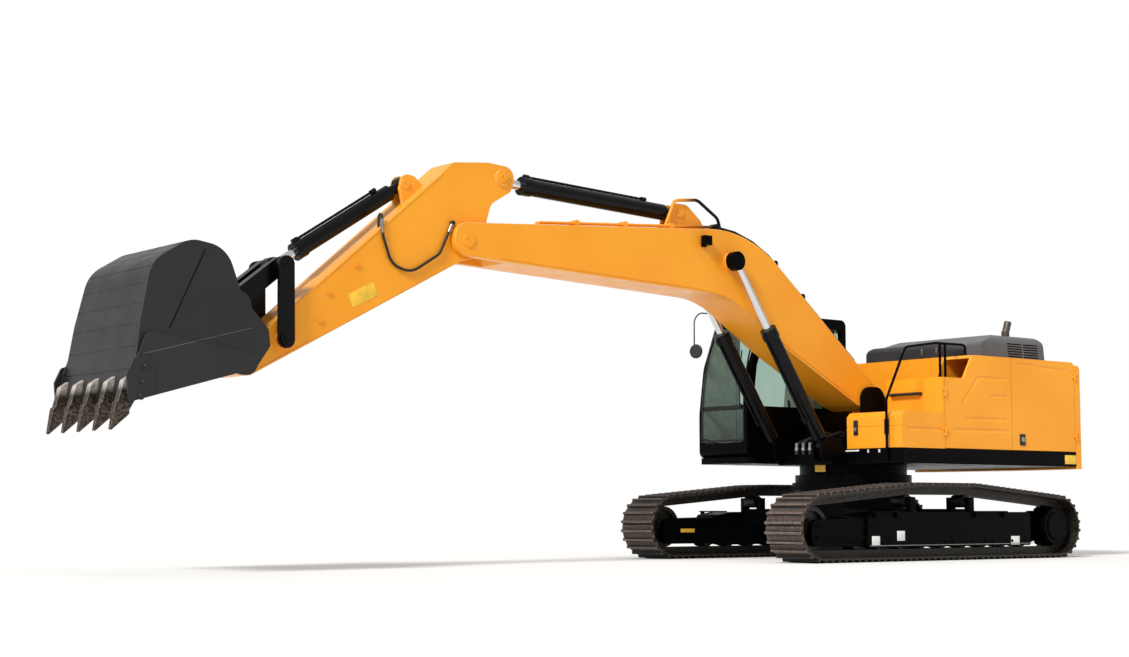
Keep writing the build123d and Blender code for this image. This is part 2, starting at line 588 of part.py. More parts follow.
def housing():
    """Fixed walls of the machinery house: front walls, roof decks and cross walls."""
    t = PANEL_THICKNESS
    left_front = block((STEP_FACE_X - t, STEP_FACE_X), (BEAM_HALF, HALF_WIDTH), (DECK_TOP, STEP_TOP))
    edge = HALF_WIDTH - t - DOOR_GAP
    inner, outer = INNER_WALL_Y
    roof_line = [(STEP_FACE_X - t, DECK_TOP, 0), (REAR_SEAM_X, DECK_TOP, 0), (REAR_SEAM_X, PANEL_TOP, 0),
                 (ROOF_STEP_X[0], PANEL_TOP, 0), (ROOF_STEP_X[1], STEP_TOP, 0),
                 (STEP_FACE_X - t, STEP_TOP, 0)]
    room = [(STEP_FACE_X - t + 1, DECK_TOP - 1, 0), (REAR_SEAM_X - 1, DECK_TOP - 1, 0),
            (REAR_SEAM_X - 1, PANEL_TOP - t, 0), (ROOF_STEP_X[0] + 25, PANEL_TOP - t, 0),
            (ROOF_STEP_X[1] + 25, STEP_TOP - t, 0), (STEP_FACE_X - t + 1, STEP_TOP - t, 0)]
    left_roof = side_slab(roof_line, inner, edge) - side_slab(room, outer, HALF_WIDTH)
    left = left_front + left_roof
    right_front = block((RIGHT_WALL_X, RIGHT_WALL_X + t), (-HALF_WIDTH, -BEAM_HALF), (DECK_TOP, PANEL_TOP))
    right_roof = block((REAR_SEAM_X, RIGHT_WALL_X), (-edge, -outer), (PANEL_TOP - t, PANEL_TOP))
    right_inner = block((REAR_SEAM_X, RIGHT_WALL_X), (-outer, -inner), (DECK_TOP, PANEL_TOP))
    cross_wall = block((CROSS_WALL_X - t, CROSS_WALL_X), (-inner, inner), (DECK_TOP, PANEL_TOP))
    cross_wall += block((HOOD_FRONT + 10, CROSS_WALL_X), (-inner - 1, inner + 1), (PANEL_TOP - t, PANEL_TOP))
    back_wall = block((REAR_SEAM_X, REAR_SEAM_X + 30), (-edge, edge), (DECK_TOP, PANEL_TOP))
    left += hinge_pins(LEFT_HINGE_X, SIDE_HINGE_Y, DOOR_HINGE_HEIGHTS, 1, 1)
    right_front += hinge_pins(RIGHT_HINGE_X, -SIDE_HINGE_Y, REAR_HINGE_HEIGHTS, -1, 1)
    for side in (-1, 1):
        y = side * HOOD_HINGE_Y
        back_wall += cross(HOOD_HINGE, HINGE_PIN, y - HINGE_LENGTH / 2, y + HINGE_LENGTH / 2)
        for edge in (-1, 1):
            low = min(y + edge * HINGE_LENGTH / 6, y + edge * HINGE_LENGTH / 2)
            back_wall += cross(HOOD_HINGE, HINGE_RADIUS, low, low + HINGE_LENGTH / 3)
            back_wall += block((HOOD_HINGE[0] - HINGE_RADIUS, HOOD_HINGE[0] + HINGE_RADIUS),
                               (low, low + HINGE_LENGTH / 3), (PANEL_TOP - 10, HOOD_HINGE[1]))
    return left + right_front + right_roof + right_inner + cross_wall + back_wall


def hinge_pins(x, y, heights, side, way):
    """Fixed halves of a door's hinges: pins between two knuckles on a strap."""
    made = None
    for z in heights:
        low, high = z - HINGE_LENGTH / 2, z + HINGE_LENGTH / 2
        third = HINGE_LENGTH / 3
        pin = Pos(x, y, z) * Cylinder(HINGE_PIN, HINGE_LENGTH)
        inner_y = y - side * HINGE_RADIUS
        for z_low in (low, high - third):
            pin += Pos(x, y, z_low + third / 2) * Cylinder(HINGE_RADIUS, third)
            pin += block(sorted((x, x + way * HINGE_STRAP)), sorted((inner_y, y)), (z_low, z_low + third))
        made = pin if made is None else made + pin
    return made


def hinge_leaves(x, y, heights, side, way):
    """Moving halves of a door's hinges, each between its pin's knuckles."""
    made = None
    half = HINGE_LENGTH / 6 - PIN_CLEARANCE
    for z in heights:
        leaf = Pos(x, y, z) * Cylinder(HINGE_RADIUS, 2 * half)
        leaf += block(sorted((x, x + way * HINGE_STRAP)), sorted((y - side * HINGE_RADIUS, y)),
                      (z - half, z + half))
        leaf -= Pos(x, y, z) * Cylinder(HINGE_PIN + PIN_CLEARANCE, 2 * half + 1)
        made = leaf if made is None else made + leaf
    return made


def side_door(corners, side):
    y_outer = side * HALF_WIDTH
    y_inner = side * (HALF_WIDTH - PANEL_THICKNESS)
    return side_slab(corners, min(y_outer, y_inner), max(y_outer, y_inner))


def creases(lines):
    """Round grooves along lines of (x, z) points on the left side's outer face."""
    cut = None
    y = HALF_WIDTH + CREASE_RADIUS - CREASE_DEPTH
    for line in lines:
        for start, end in zip(line, line[1:]):
            groove = bar((start[0], y, start[1]), (end[0], y, end[1]), CREASE_RADIUS)
            groove += Pos(end[0], y, end[1]) * Sphere(CREASE_RADIUS)
            cut = groove if cut is None else cut + groove
    return cut


def left_front_door():
    low = DECK_TOP + SEAM_GAP
    rear, front = DOOR_SEAM_X + SEAM_GAP / 2, STEP_FACE_X - PANEL_THICKNESS - SEAM_GAP
    door = side_door([(rear, low, 0), (front, low, 0), (front, STEP_TOP, 0), (ROOF_STEP_X[1], STEP_TOP, 60),
                      (ROOF_STEP_X[0], PANEL_TOP, 60), (rear, PANEL_TOP, 0)], 1)
    return door - creases(FRONT_DOOR_CREASES) + hinge_leaves(
        LEFT_HINGE_X, SIDE_HINGE_Y, DOOR_HINGE_HEIGHTS, 1, -1)


def left_rear_door():
    low = DECK_TOP + SEAM_GAP
    return side_door([(REAR_SEAM_X + SEAM_GAP, low, 0), (DOOR_SEAM_X - SEAM_GAP / 2, low, 0),
                      (DOOR_SEAM_X - SEAM_GAP / 2, PANEL_TOP, 0), (REAR_SEAM_X + SEAM_GAP, PANEL_TOP, 60)],
                     1) - creases(REAR_DOOR_CREASES) + hinge_leaves(
        REAR_HINGE_X, SIDE_HINGE_Y, REAR_HINGE_HEIGHTS, 1, 1)


def right_rear_door():
    low = DECK_TOP + SEAM_GAP
    return side_door([(REAR_SEAM_X + SEAM_GAP, low, 0), (RIGHT_SEAM_X - SEAM_GAP / 2, low, 0),
                      (RIGHT_SEAM_X - SEAM_GAP / 2, PANEL_TOP, 0), (REAR_SEAM_X + SEAM_GAP, PANEL_TOP, 60)],
                     -1) + hinge_leaves(REAR_HINGE_X, -SIDE_HINGE_Y, REAR_HINGE_HEIGHTS, -1, 1)


def right_front_door():
    low = DECK_TOP + SEAM_GAP
    return side_door([(RIGHT_SEAM_X + SEAM_GAP / 2, low, 0), (RIGHT_WALL_X - SEAM_GAP, low, 0),
                      (RIGHT_WALL_X - SEAM_GAP, PANEL_TOP, 60), (RIGHT_SEAM_X + SEAM_GAP / 2, PANEL_TOP, 0)],
                     -1) + hinge_leaves(RIGHT_HINGE_X, -SIDE_HINGE_Y, REAR_HINGE_HEIGHTS, -1, -1)


def hood_form(low, inset):
    """Outside of the hood, or its inside where inset is the wall's thickness."""
    half, top, rear, front = HOOD_HALF - inset, HOOD_TOP - inset, REAR_SEAM_X + 20 + inset, HOOD_FRONT - inset
    across = front_slab([(-half, low, 0), (half, low, 0), (half - 30, top, 160 - inset),
                         (inset + 30 - HOOD_HALF, top, 160 - inset)], rear, front)
    along = side_slab([(rear, low, 0), (front, low, 0), (front, HOOD_SHOULDER - inset, 60),
                       (front - HOOD_SLOPE, top, 0), (rear + HOOD_CHAMFER, top, 0),
                       (rear, top - HOOD_CHAMFER, 0)], -half, half)
    return across & along


def hood():
    """Grey engine hood, open below, hinged along its rear edge."""
    low = PANEL_TOP + 10
    made = hood_form(low, 0) - hood_form(low - 1, HOOD_WALL)
    for side in (-1, 1):
        y = side * HOOD_HINGE_Y
        half = HINGE_LENGTH / 6 - PIN_CLEARANCE
        made += cross(HOOD_HINGE, HINGE_RADIUS, y - half, y + half)
        made += block((HOOD_HINGE[0], REAR_SEAM_X + 45), (y - half, y + half),
                      (HOOD_HINGE[1], HOOD_HINGE[1] + HINGE_RADIUS))
        made -= cross(HOOD_HINGE, HINGE_PIN + PIN_CLEARANCE, y - half - 1, y + half + 1)
    for number in range(GRILLE_SLOTS):
        z = GRILLE_LOW + number * GRILLE_PITCH
        for x in GRILLE_PLACES:
            slot = block((x, x + GRILLE_LENGTH), (HOOD_HALF - GRILLE_DEPTH, HOOD_HALF + 10),
                         (z, z + GRILLE_PITCH / 2))
            made -= both(slot)
    return made


def front_cover():
    """Grey cover ahead of the hood, over the valves."""
    half, low, top, rear = COVER_HALF, PANEL_TOP, COVER_TOP, HOOD_FRONT + 10
    along = side_slab([(rear, low, 0), (COVER_FRONT, low, 0), (COVER_FRONT, top, 90), (rear, top, 0)],
                      -half, half)
    across = front_slab([(-half, low, 0), (half, low, 0), (half, top, 120), (-half, top, 120)],
                        rear, COVER_FRONT)
    return along & across


def engine():
    """Engine and pumps as one plain block at their place."""
    return block((REAR_SEAM_X + ENGINE_REAR_GAP, HOOD_FRONT), (-ENGINE_HALF, ENGINE_HALF),
                 (DECK_TOP - ENGINE_FOOT, ENGINE_TOP))


def exhaust():
    """Stack on the hood: a sleeve, and a pipe that leans back."""
    x, y = EXHAUST
    sleeve = bar((x, y, HOOD_TOP), (x, y, HOOD_TOP + EXHAUST_BEND + 30), 55)
    return sleeve + bar((x, y, HOOD_TOP + EXHAUST_BEND), (x - EXHAUST_LEAN, y, HOOD_TOP + EXHAUST_HEIGHT), 50)


def tool_box():
    """Box ahead of the house: a lower body and a lid whose front edge is folded back."""
    back = STEP_FACE_X + 1
    body = side_slab([(back, DECK_TOP, 0), (FRONT_FACE_X, DECK_TOP, 0), (FRONT_FACE_X, TOOL_BOX_TOP - 60, 20),
                      (FRONT_FACE_X - 60, TOOL_BOX_TOP, 30), (back, TOOL_BOX_TOP, 0)],
                     TOOL_BOX_INNER, HALF_WIDTH)
    lid_line = DECK_TOP + 0.6 * (TOOL_BOX_TOP - DECK_TOP)
    body -= block((FRONT_FACE_X - 5, FRONT_FACE_X + 1), (TOOL_BOX_INNER - 1, HALF_WIDTH + 1),
                  (lid_line - SEAM_GAP / 2, lid_line + SEAM_GAP / 2))
    return body - creases([[(FRONT_FACE_X - 110, 1640), (back, 1640)]])


# Cab



def shrunk(corners, wall):
    """Corners of an outline moved in by a wall's thickness."""
    return offset(outline(corners), -wall, kind=Kind.INTERSECTION)


def cab_frame():
    """Hollow cab: floor, roof, posts and the walls' frames, with its windows and door way cut."""
    shell = side_slab(CAB_SIDE, CAB_OUTER_Y, CAB_INNER_Y)
    space = side_plane(CAB_INNER_Y - CAB_WALL).location * extrude(
        shrunk(CAB_SIDE, CAB_WALL), CAB_INNER_Y - CAB_OUTER_Y - 2 * CAB_WALL, dir=(0, 0, 1))
    cab = shell - space
    front = front_slab(rectangle((CAB_OUTER_Y + 60, 1500), (CAB_INNER_Y - 60, 3020), 70), 800, 1500)
    cab -= front
    rail = side_plane(CAB_INNER_Y - CAB_WALL + 1).location * extrude(
        shrunk(CAB_SIDE, GLASS + 2), CAB_INNER_Y - CAB_OUTER_Y - 2 * CAB_WALL + 2, dir=(0, 0, 1))
    rail -= space
    cab += rail & block((1200, 1500), (CAB_OUTER_Y, CAB_INNER_Y), (FRONT_BAR_Z - 30, FRONT_BAR_Z + 30))
    side = side_slab([(CAB_REAR_X + 90, 1980, 60), (CAB_REAR_X + 90, 3060, 60), (1010, 3060, 120),
                      (1220, 2500, 300), (1290, 1980, 60)], CAB_INNER_Y - CAB_WALL - 1, CAB_INNER_Y + 1)
    cab -= side
    rear = front_slab(rectangle((CAB_OUTER_Y + 90, 2100), (CAB_INNER_Y - 90, 3040), 60),
                      CAB_REAR_X - 1, CAB_REAR_X + CAB_WALL + 1)
    cab -= rear
    hatch = plan_slab(rectangle((-150, CAB_OUTER_Y + 170), (620, CAB_INNER_Y - 170), 60),
                      CAB_ROOF - CAB_WALL - 1, CAB_ROOF + 1)
    cab -= hatch
    door_way = side_slab(DOOR_OUTLINE, CAB_OUTER_Y - 1, CAB_OUTER_Y + CAB_WALL + 1)
    return cab - door_way + hinge_pins(DOOR_REAR_X, CAB_HINGE_Y, CAB_HINGE_HEIGHTS, -1, -1)


def door_corners(inset, low=DOOR_LOW):
    return [(DOOR_REAR_X + inset, low + inset, 60), (DOOR_REAR_X + inset, DOOR_HIGH - inset, 60),
            (DOOR_FRONT_X - inset, DOOR_HIGH - inset, 110), (DOOR_FRONT_X - inset, low + inset, 60)]


def cab_door():
    gap = SEAM_GAP
    leaf = side_slab(door_corners(gap), CAB_OUTER_Y, CAB_OUTER_Y + CAB_WALL)
    window = side_slab(door_corners(gap + 75, 1900), CAB_OUTER_Y - 1, CAB_OUTER_Y + CAB_WALL + 1)
    return leaf - window + hinge_leaves(DOOR_REAR_X, CAB_HINGE_Y, CAB_HINGE_HEIGHTS, -1, 1)


def cab_door_glass():
    return side_slab(door_corners(SEAM_GAP + 75 + PIN_CLEARANCE, 1900),
                     CAB_OUTER_Y + 24, CAB_OUTER_Y + 24 + GLASS)


def boom_body():
    """Welded box boom: bent plates, with its foot tube, tip ears and cylinder brackets."""
    outer = side_slab(BOOM_SIDE, -BOOM_HALF, BOOM_HALF)
    hollow = side_plane(BOOM_HALF - BOOM_WALL).location * extrude(
        shrunk(BOOM_SIDE, BOOM_WALL), 2 * (BOOM_HALF - BOOM_WALL), dir=(0, 0, 1))
    hollow -= block((5700, 7000), (-400, 400), (3000, 4200))
    hollow -= block((-400, 400), (-400, 400), (1700, 2600))
    boom = outer - hollow
    boom -= cross(BOOM_FOOT, 65 + PIN_CLEARANCE, -1000, 1000)
    mouth = ARM_BOSS_HALF + BOOM_EAR_GAP
    boom -= side_slab([(5800, 3300, 0), (7100, 3300, 0), (7100, 4200, 0), (6110, 4200, 0), (6060, 3600, 0)],
                      -mouth, mouth)
    boom += cross(BOOM_TIP, TIP_PIN, -BOOM_HALF, BOOM_HALF)
    for edge in (-1, 1):
        inside = edge * (ARM_CYL_EYE_HALF + SIDE_GAP)
        outside = inside + edge * 40
        boom += side_slab([(2700, 4060, 0), (3400, 4010, 0), (3280, 4120, 60), (3260, 4370, 90),
                           (3020, 4370, 110), (2800, 4200, 60)], *sorted((inside, outside)))
    boom += cross(ARM_CYL_BASE, 50, -ARM_CYL_EYE_HALF - 40, ARM_CYL_EYE_HALF + 40)
    boss = cross(BOOM_CYL_EYE, 105, BOOM_HALF - 5, BOOM_CYL_Y - BOOM_CYL_EYE_HALF - SIDE_GAP)
    return boom + both(boss)


def arm_body():
    """Welded box arm with the horn for its cylinder, the bucket cylinder's bracket and the tip."""
    arm = side_slab(ARM_SIDE, -ARM_HALF, ARM_HALF)
    inside = ARM_HALF - ARM_WALL
    hollow = side_plane(inside).location * extrude(shrunk(ARM_SIDE, ARM_WALL), 2 * inside, dir=(0, 0, 1))
    hollow -= block((6218, 6700), (-inside - 1, inside + 1), (3300, 3860))
    hollow -= block((8650, 9500), (-inside - 1, inside + 1), (1500, 3000))
    arm -= hollow
    # The horn is open between its plates, with room for the rod's eye
    arm -= side_slab([(5600, 3640, 0), (6228, 3640, 0), (6235, 3900, 100), (6330, 4110, 100), (6220, 4700, 0),
                      (5600, 4700, 0)], -inside, inside)
    arm += side_slab([(6218, 3560, 0), (6270, 3560, 0), (6275, 3890, 0), (6380, 4110, 0), (6280, 4540, 0),
                      (6230, 4540, 0), (6330, 4110, 0), (6228, 3890, 0)],
                     -inside - 1, inside + 1) & side_slab(ARM_SIDE, -ARM_HALF, ARM_HALF)
    arm -= cross(BOOM_TIP, TIP_PIN + PIN_CLEARANCE, -500, 500)
    arm -= cross(ARM_END, END_PIN + PIN_CLEARANCE, -500, 500)
    arm += cross(GUIDE_PIN, GUIDE_PIN_RADIUS, -GUIDE_OUTER, GUIDE_OUTER)
    arm += both(cross(GUIDE_PIN, 85, ARM_HALF - 1, GUIDE_INNER - SIDE_GAP))
    arm += both(cross(ARM_CYL_EYE, 95, ARM_HALF - 1, ARM_HALF + 22))
    for edge in (-1, 1):
        near = edge * (BUCKET_CYL_EYE_HALF + SIDE_GAP)
        far = near + edge * 35
        arm += side_slab([(6880, 4150, 0), (7180, 3890, 0), (7245, 4130, 60), (7205, 4310, 90),
                          (7050, 4290, 90)], *sorted((near, far)))
    return arm + cross(BUCKET_CYL_BASE, 45, -BUCKET_CYL_EYE_HALF - 40, BUCKET_CYL_EYE_HALF + 40)


def guide_links():
    """Two side links that steer the bucket cylinder's rod end."""
    link = strut(GUIDE_PIN, LINK_TOP, 95, 90, GUIDE_INNER, GUIDE_OUTER)
    link -= cross(GUIDE_PIN, GUIDE_PIN_RADIUS + PIN_CLEARANCE, GUIDE_INNER - 1, GUIDE_OUTER + 1)
    link += cross(LINK_TOP, TOP_PIN, LINK_FORK_INNER + 5, GUIDE_OUTER)
    cap = cross(GUIDE_PIN, 80, GUIDE_OUTER + 1, GUIDE_OUTER + 20)
    return both(link + cap + ring(GUIDE_PIN, 80, 60, GUIDE_OUTER - 1, GUIDE_OUTER + 2))


def bucket_link():
    """Forked link from the guide links' top to the bucket's ears."""
    fork = strut(LINK_TOP, BUCKET_EAR, 88, 95, LINK_FORK_INNER, LINK_FORK_OUTER)
    fork += ring(LINK_TOP, 80, TOP_PIN + PIN_CLEARANCE, LINK_FORK_OUTER - 1, GUIDE_INNER - SIDE_GAP)
    fork -= cross(LINK_TOP, TOP_PIN + PIN_CLEARANCE, LINK_FORK_INNER - 1, GUIDE_INNER)
    dx, dz = BUCKET_EAR[0] - LINK_TOP[0], BUCKET_EAR[1] - LINK_TOP[1]
    length = hypot(dx, dz)
    start, end = toward(LINK_TOP, BUCKET_EAR, 0.5 * length), toward(LINK_TOP, BUCKET_EAR, 0.95 * length)
    web = strut(start, end, 50, 50, -LINK_FORK_INNER - 5, LINK_FORK_INNER + 5)
    tube = cross(BUCKET_EAR, 80, -LINK_FORK_INNER - 5, LINK_FORK_INNER + 5)
    return web + fork + mirror(fork, Plane.XZ) + tube


def toward(start, end, distance):
    """Point (x, z) at a distance from one pin towards another."""
    length = hypot(end[0] - start[0], end[1] - start[1])
    return (start[0] + (end[0] - start[0]) * distance / length,
            start[1] + (end[1] - start[1]) * distance / length)


def along(start, end, low, high, radius, y=0):
    """Round bar on the line of two pins, from one distance to another."""
    a, b = toward(start, end, low), toward(start, end, high)
    return bar((a[0], y, a[1]), (b[0], y, b[1]), radius)


def barrel(base, eye, radius, rod, eye_half, neck, head, pin, pipe_start, pipe_side=1, y=0):
    """Cylinder barrel from its base eye to its gland, bored for the rod."""
    made = cross(base, radius, y - eye_half, y + eye_half)
    made += along(base, eye, radius * 0.6, neck + 30, eye_half - 4, y)
    made += along(base, eye, neck, head, radius, y)
    made += along(base, eye, head - 130, head, radius + 12, y)
    made -= along(base, eye, neck + 25, head - 100, radius - 18, y)
    made -= along(base, eye, head - 120, head + 10, rod + PIN_CLEARANCE, y)
    # Pressure pipe beside the barrel, between the blocks at its two ports
    out = (radius + PIPE_RADIUS + 4)
    ux, uz = toward((0, 0), (eye[0] - base[0], eye[1] - base[1]), 1)
    shift = (-uz * out * pipe_side, ux * out * pipe_side)
    low, high = (base[0] + shift[0], base[1] + shift[1]), (eye[0] + shift[0], eye[1] + shift[1])
    made += along(low, high, pipe_start, head - 40, PIPE_RADIUS, y)
    for place in (pipe_start, head - 110):
        made += along(low, high, place, place + 70, PIPE_RADIUS + 12, y)
    return made - cross(base, pin + PIN_CLEARANCE, y - eye_half - 1, y + eye_half + 1)


def rod(base, eye, rod_radius, eye_radius, eye_half, inner, y=0):
    """Chromed rod with its eye."""
    length = hypot(eye[0] - base[0], eye[1] - base[1])
    made = along(base, eye, inner, length, rod_radius, y)
    return made + cross(eye, eye_radius, y - eye_half, y + eye_half)


def boom_cylinder_barrels():
    return both(barrel(BOOM_CYL_BASE, BOOM_CYL_EYE, 92, 47, BOOM_CYL_EYE_HALF, 128, 1725, 50,
                       400, -1, BOOM_CYL_Y))


def boom_cylinder_rods():
    return both(rod(BOOM_CYL_BASE, BOOM_CYL_EYE, 47, 118, BOOM_CYL_EYE_HALF, 966, BOOM_CYL_Y))


def arm_cylinder_barrel():
    return barrel(ARM_CYL_BASE, ARM_CYL_EYE, 98, 55, ARM_CYL_EYE_HALF, 198, 2380, 50, 480)


def arm_cylinder_rod():
    return rod(ARM_CYL_BASE, ARM_CYL_EYE, 55, 112, ARM_CYL_EYE_HALF, 480)


def bucket_cylinder_barrel():
    return barrel(BUCKET_CYL_BASE, LINK_TOP, 88, 50, BUCKET_CYL_EYE_HALF, 188, 1590, 45, 330)


def bucket_cylinder_rod():
    return rod(BUCKET_CYL_BASE, LINK_TOP, 50, 100, BUCKET_CYL_EYE_HALF, 330)


# Bucket

def lip_face(z):
    """How far forward the wrapper's outer face is, near the lip."""
    return LIP[0] + (BACK[0] - LIP[0]) * (z - LIP[1]) / (BACK[1] - LIP[1])


def bucket_wedge(inset):
    """Taper of the bucket seen from the front, moved in from its outer faces."""
    low, high = BUCKET_HALF_LOW - inset, BUCKET_HALF_HIGH - inset
    return front_slab([(-low, 1200, 0), (low, 1200, 0), (low, LIP[1] + 260, 0), (high, 3300, 0),
                       (-high, 3300, 0), (-low, LIP[1] + 260, 0)], 8800, 11200)


def bucket_shell():
    """Bucket: wrapper plate bent round the back, tapered side plates, cutters and ears."""
    half = BUCKET_HALF_LOW
    plates = side_slab(BUCKET_SIDE, -half, half) & (bucket_wedge(0) - bucket_wedge(BUCKET_WALL))
    # Ahead of the linkage the wrapper stands further forward than the side plates
    wrap = BUCKET_SIDE[:5] + [(9510, 2740, 120), (9322, 2385, 0)]
    inner = offset(outline(wrap), -BUCKET_WALL, kind=Kind.INTERSECTION)
    cavity = side_plane(half).location * extrude(inner, 2 * half, dir=(0, 0, 1))
    edge = BUCKET_WALL * 1.012
    mouth = side_slab([(9330, 2400, 0), (9357, 2386, 0), (9450, 2560, 0), (10200, 2300, 0),
                       (lip_face(1760) - edge, 1760, 0), (lip_face(1500) - edge, 1500, 0), (9100, 1500, 0),
                       (9100, 2400, 0)], -half, half)
    wrapper = (side_slab(wrap, -half, half) - cavity - mouth) & bucket_wedge(BUCKET_WALL - 1)
    # Wear strips over the back, shown by the gaps between them
    wire = outline(wrap).outer_wire()
    for place in STRIP_EDGES:
        nearest = wire.distance_to_with_closest_points(Vertex(*place, 0))[1]
        wrapper -= cross((nearest.X, nearest.Y), STRIP_GAP, -half, half)
    shell = plates + wrapper
    ear = side_slab([(9480, 2640, 0), (9600, 2960, 0), (9330, 2890, 110), (9160, 2790, 100),
                     (9040, 2290, 150), (9060, 1990, 140), (9340, 1990, 140), (9400, 2420, 60)],
                    EAR_INNER, EAR_OUTER)
    # Thicker lower side plates, each with a cutter ahead of the lip
    plate = side_slab([(9370, 2020, 60), (9330, 2150, 60), (10560, 2330, 80), (10680, 2000, 40),
                       (10715, 1650, 0)], BUCKET_HALF_LOW - 1, BUCKET_HALF_LOW + SIDE_PLATE)
    side_face = BUCKET_HALF_LOW + SIDE_PLATE
    cutter = side_slab([(10480, 1760, 60), (10500, 2120, 80), (10700, 2050, 40), (10770, 1900, 20),
                        (10745, 1630, 20)], side_face, side_face + CUTTER)
    shell += both(ear + plate + cutter)
    return shell + cross(ARM_END, END_PIN, -EAR_OUTER, EAR_OUTER)


def bucket_teeth():
    """Pointed teeth on adapters that clasp the lip."""
    teeth = None
    gap = PIN_CLEARANCE
    behind = BUCKET_WALL * 1.02 + gap
    slot = [(lip_face(2000) - behind, 2000, 0), (LIP[0] - behind, LIP[1] - gap, 0),
            (LIP[0] + gap, LIP[1] - gap, 0), (lip_face(2000) + gap, 2000, 0)]
    for number in range(TOOTH_COUNT):
        y = (number / (TOOTH_COUNT - 1) - 0.5) * TOOTH_SPAN
        adapter = side_slab([(10640, 1860, 30), (lip_face(1900), 1905, 0), (10760, 1850, 30),
                             (10815, 1640, 40), (10800, 1560, 30), (10700, 1560, 30), (10620, 1700, 40)],
                            y - 42, y + 42)
        tip = side_slab([(10832, 1640, 20), (TOOTH_TIP_X, 1380, 6), (10862, 1376, 6), (10690, 1530, 30),
                         (10700, 1600, 0), (10812, 1650, 0)], y - 52, y + 52)
        tip &= front_slab([(y - TOOTH_HALF, 1660, 0), (y - TOOTH_HALF, 1600, 0), (y - TIP_HALF, 1370, 0),
                           (y + TIP_HALF, 1370, 0), (y + TOOTH_HALF, 1600, 0), (y + TOOTH_HALF, 1660, 0)],
                          LIP[0] - 100, TOOTH_TIP_X + 1)
        tooth = adapter + tip - side_slab(slot, y - 60, y + 60)
        teeth = tooth if teeth is None else teeth + tooth
    return teeth


# Small pieces of the upper structure

def cab_glass():
    c = PIN_CLEARANCE
    side = side_slab([(CAB_REAR_X + 90 + c, 1980 + c, 60), (CAB_REAR_X + 90 + c, 3060 - c, 60),
                      (1010 - c, 3060 - c, 120), (1220 - c, 2500, 300), (1290 - c, 1980 + c, 60)],
                     CAB_INNER_Y - 40, CAB_INNER_Y - 40 + GLASS)
    rear = front_slab(rectangle((CAB_OUTER_Y + 90 + c, 2100 + c), (CAB_INNER_Y - 90 - c, 3040 - c), 60),
                      CAB_REAR_X + 24, CAB_REAR_X + 24 + GLASS)
    hatch = plan_slab(rectangle((-150 + c, CAB_OUTER_Y + 170 + c), (620 - c, CAB_INNER_Y - 170 - c), 60),
                      CAB_ROOF - 36, CAB_ROOF - 36 + GLASS)
    skin = side_slab(CAB_SIDE, CAB_OUTER_Y + 60 + c, CAB_INNER_Y - 60 - c)
    behind = side_plane(CAB_INNER_Y - CAB_WALL + 1).location * extrude(
        shrunk(CAB_SIDE, GLASS), CAB_INNER_Y - CAB_OUTER_Y, dir=(0, 0, 1))
    front = (skin - behind) & front_slab(
        rectangle((CAB_OUTER_Y + 60 + c, 1500 + c), (CAB_INNER_Y - 60 - c, 3020 - c), 70), 800, 1500)
    return side + rear + hatch + front


def operator_seat():
    y = (CAB_INNER_Y + CAB_OUTER_Y) / 2
    base = block((80, 520), (y - 220, y + 220), (CAB_FLOOR + CAB_WALL, 1640))
    cushion = side_slab([(40, 1640, 30), (600, 1640, 30), (610, 1770, 50), (40, 1740, 30)], y - 260, y + 260)
    back = side_slab([(-60, 1740, 40), (110, 1740, 40), (0, 2480, 60), (-140, 2480, 60)], y - 250, y + 250)
    return base + cushion + back


def cab_controls():
    """Side consoles with levers, pedals and the display post."""
    y = (CAB_INNER_Y + CAB_OUTER_Y) / 2
    made = None
    for side in (-1, 1):
        mid = y + side * 340
        console = block((100, 560), (mid - 55, mid + 55), (CAB_FLOOR + CAB_WALL, 1850))
        lever = bar((480, mid, 1840), (530, mid, 2080), 18)
        foot_y = y + side * 90
        pedal = block((1000, 1120), (foot_y - 45, foot_y + 45), (CAB_FLOOR + CAB_WALL, CAB_FLOOR + 220))
        piece = console + lever + pedal
        made = piece if made is None else made + piece
    return made


def hand_rails():
    """Rail from the deck over the tool box to the housing's roof, on its feet."""
    x = FRONT_FACE_X + 60
    rail = pipe([(x, RAIL_Y, 1240), (x, RAIL_Y, 2000), (330, RAIL_Y, 2680), (-250, RAIL_Y, 2762),
                 (-830, RAIL_Y, 2766), (-830, RAIL_Y, PANEL_TOP)], [90, 120, 200, 60], RAIL_RADIUS)
    for z in (1250, 1340):
        rail += block((FRONT_FACE_X + 40, x), (RAIL_Y - 20, RAIL_Y + 20), (z, z + 30))
    rail += block((-860, -800), (RAIL_Y - 30, RAIL_Y + 30), (PANEL_TOP, PANEL_TOP + 12))
    for post in (-430, -330):
        rail += bar((post, RAIL_Y, STEP_TOP), (post, RAIL_Y, 2762), RAIL_RADIUS)
        rail += block((post - 30, post + 30), (RAIL_Y - 30, RAIL_Y + 30), (STEP_TOP, STEP_TOP + 12))
    return rail


def cab_mirror():
    """Round rear view mirror on an arm from the cab's roof edge."""
    x, y, z = MIRROR_X, CAB_OUTER_Y + 120, CAB_ROOF - MIRROR_DROP
    arm_y = CAB_OUTER_Y + 80
    arm = pipe([(700, arm_y, CAB_ROOF), (700, arm_y, CAB_ROOF + 50), (x - 60, arm_y, CAB_ROOF + 50),
                (x - 60, arm_y, z)], [40, 160], 9)
    disc = Plane((x - 70, y, z), z_dir=(1, 0.25, 0)).location * Cylinder(
        95, 40, align=(Align.CENTER, Align.CENTER, Align.MIN))
    return arm + fillet(disc.edges(), 14)


def boom_lamp():
    bracket = block((2900, 2970), (BOOM_HALF, BOOM_HALF + 24), (3830, 3890))
    return bracket + block((2870, 2985), (BOOM_HALF + 20, BOOM_HALF + 95), (3850, 3965))


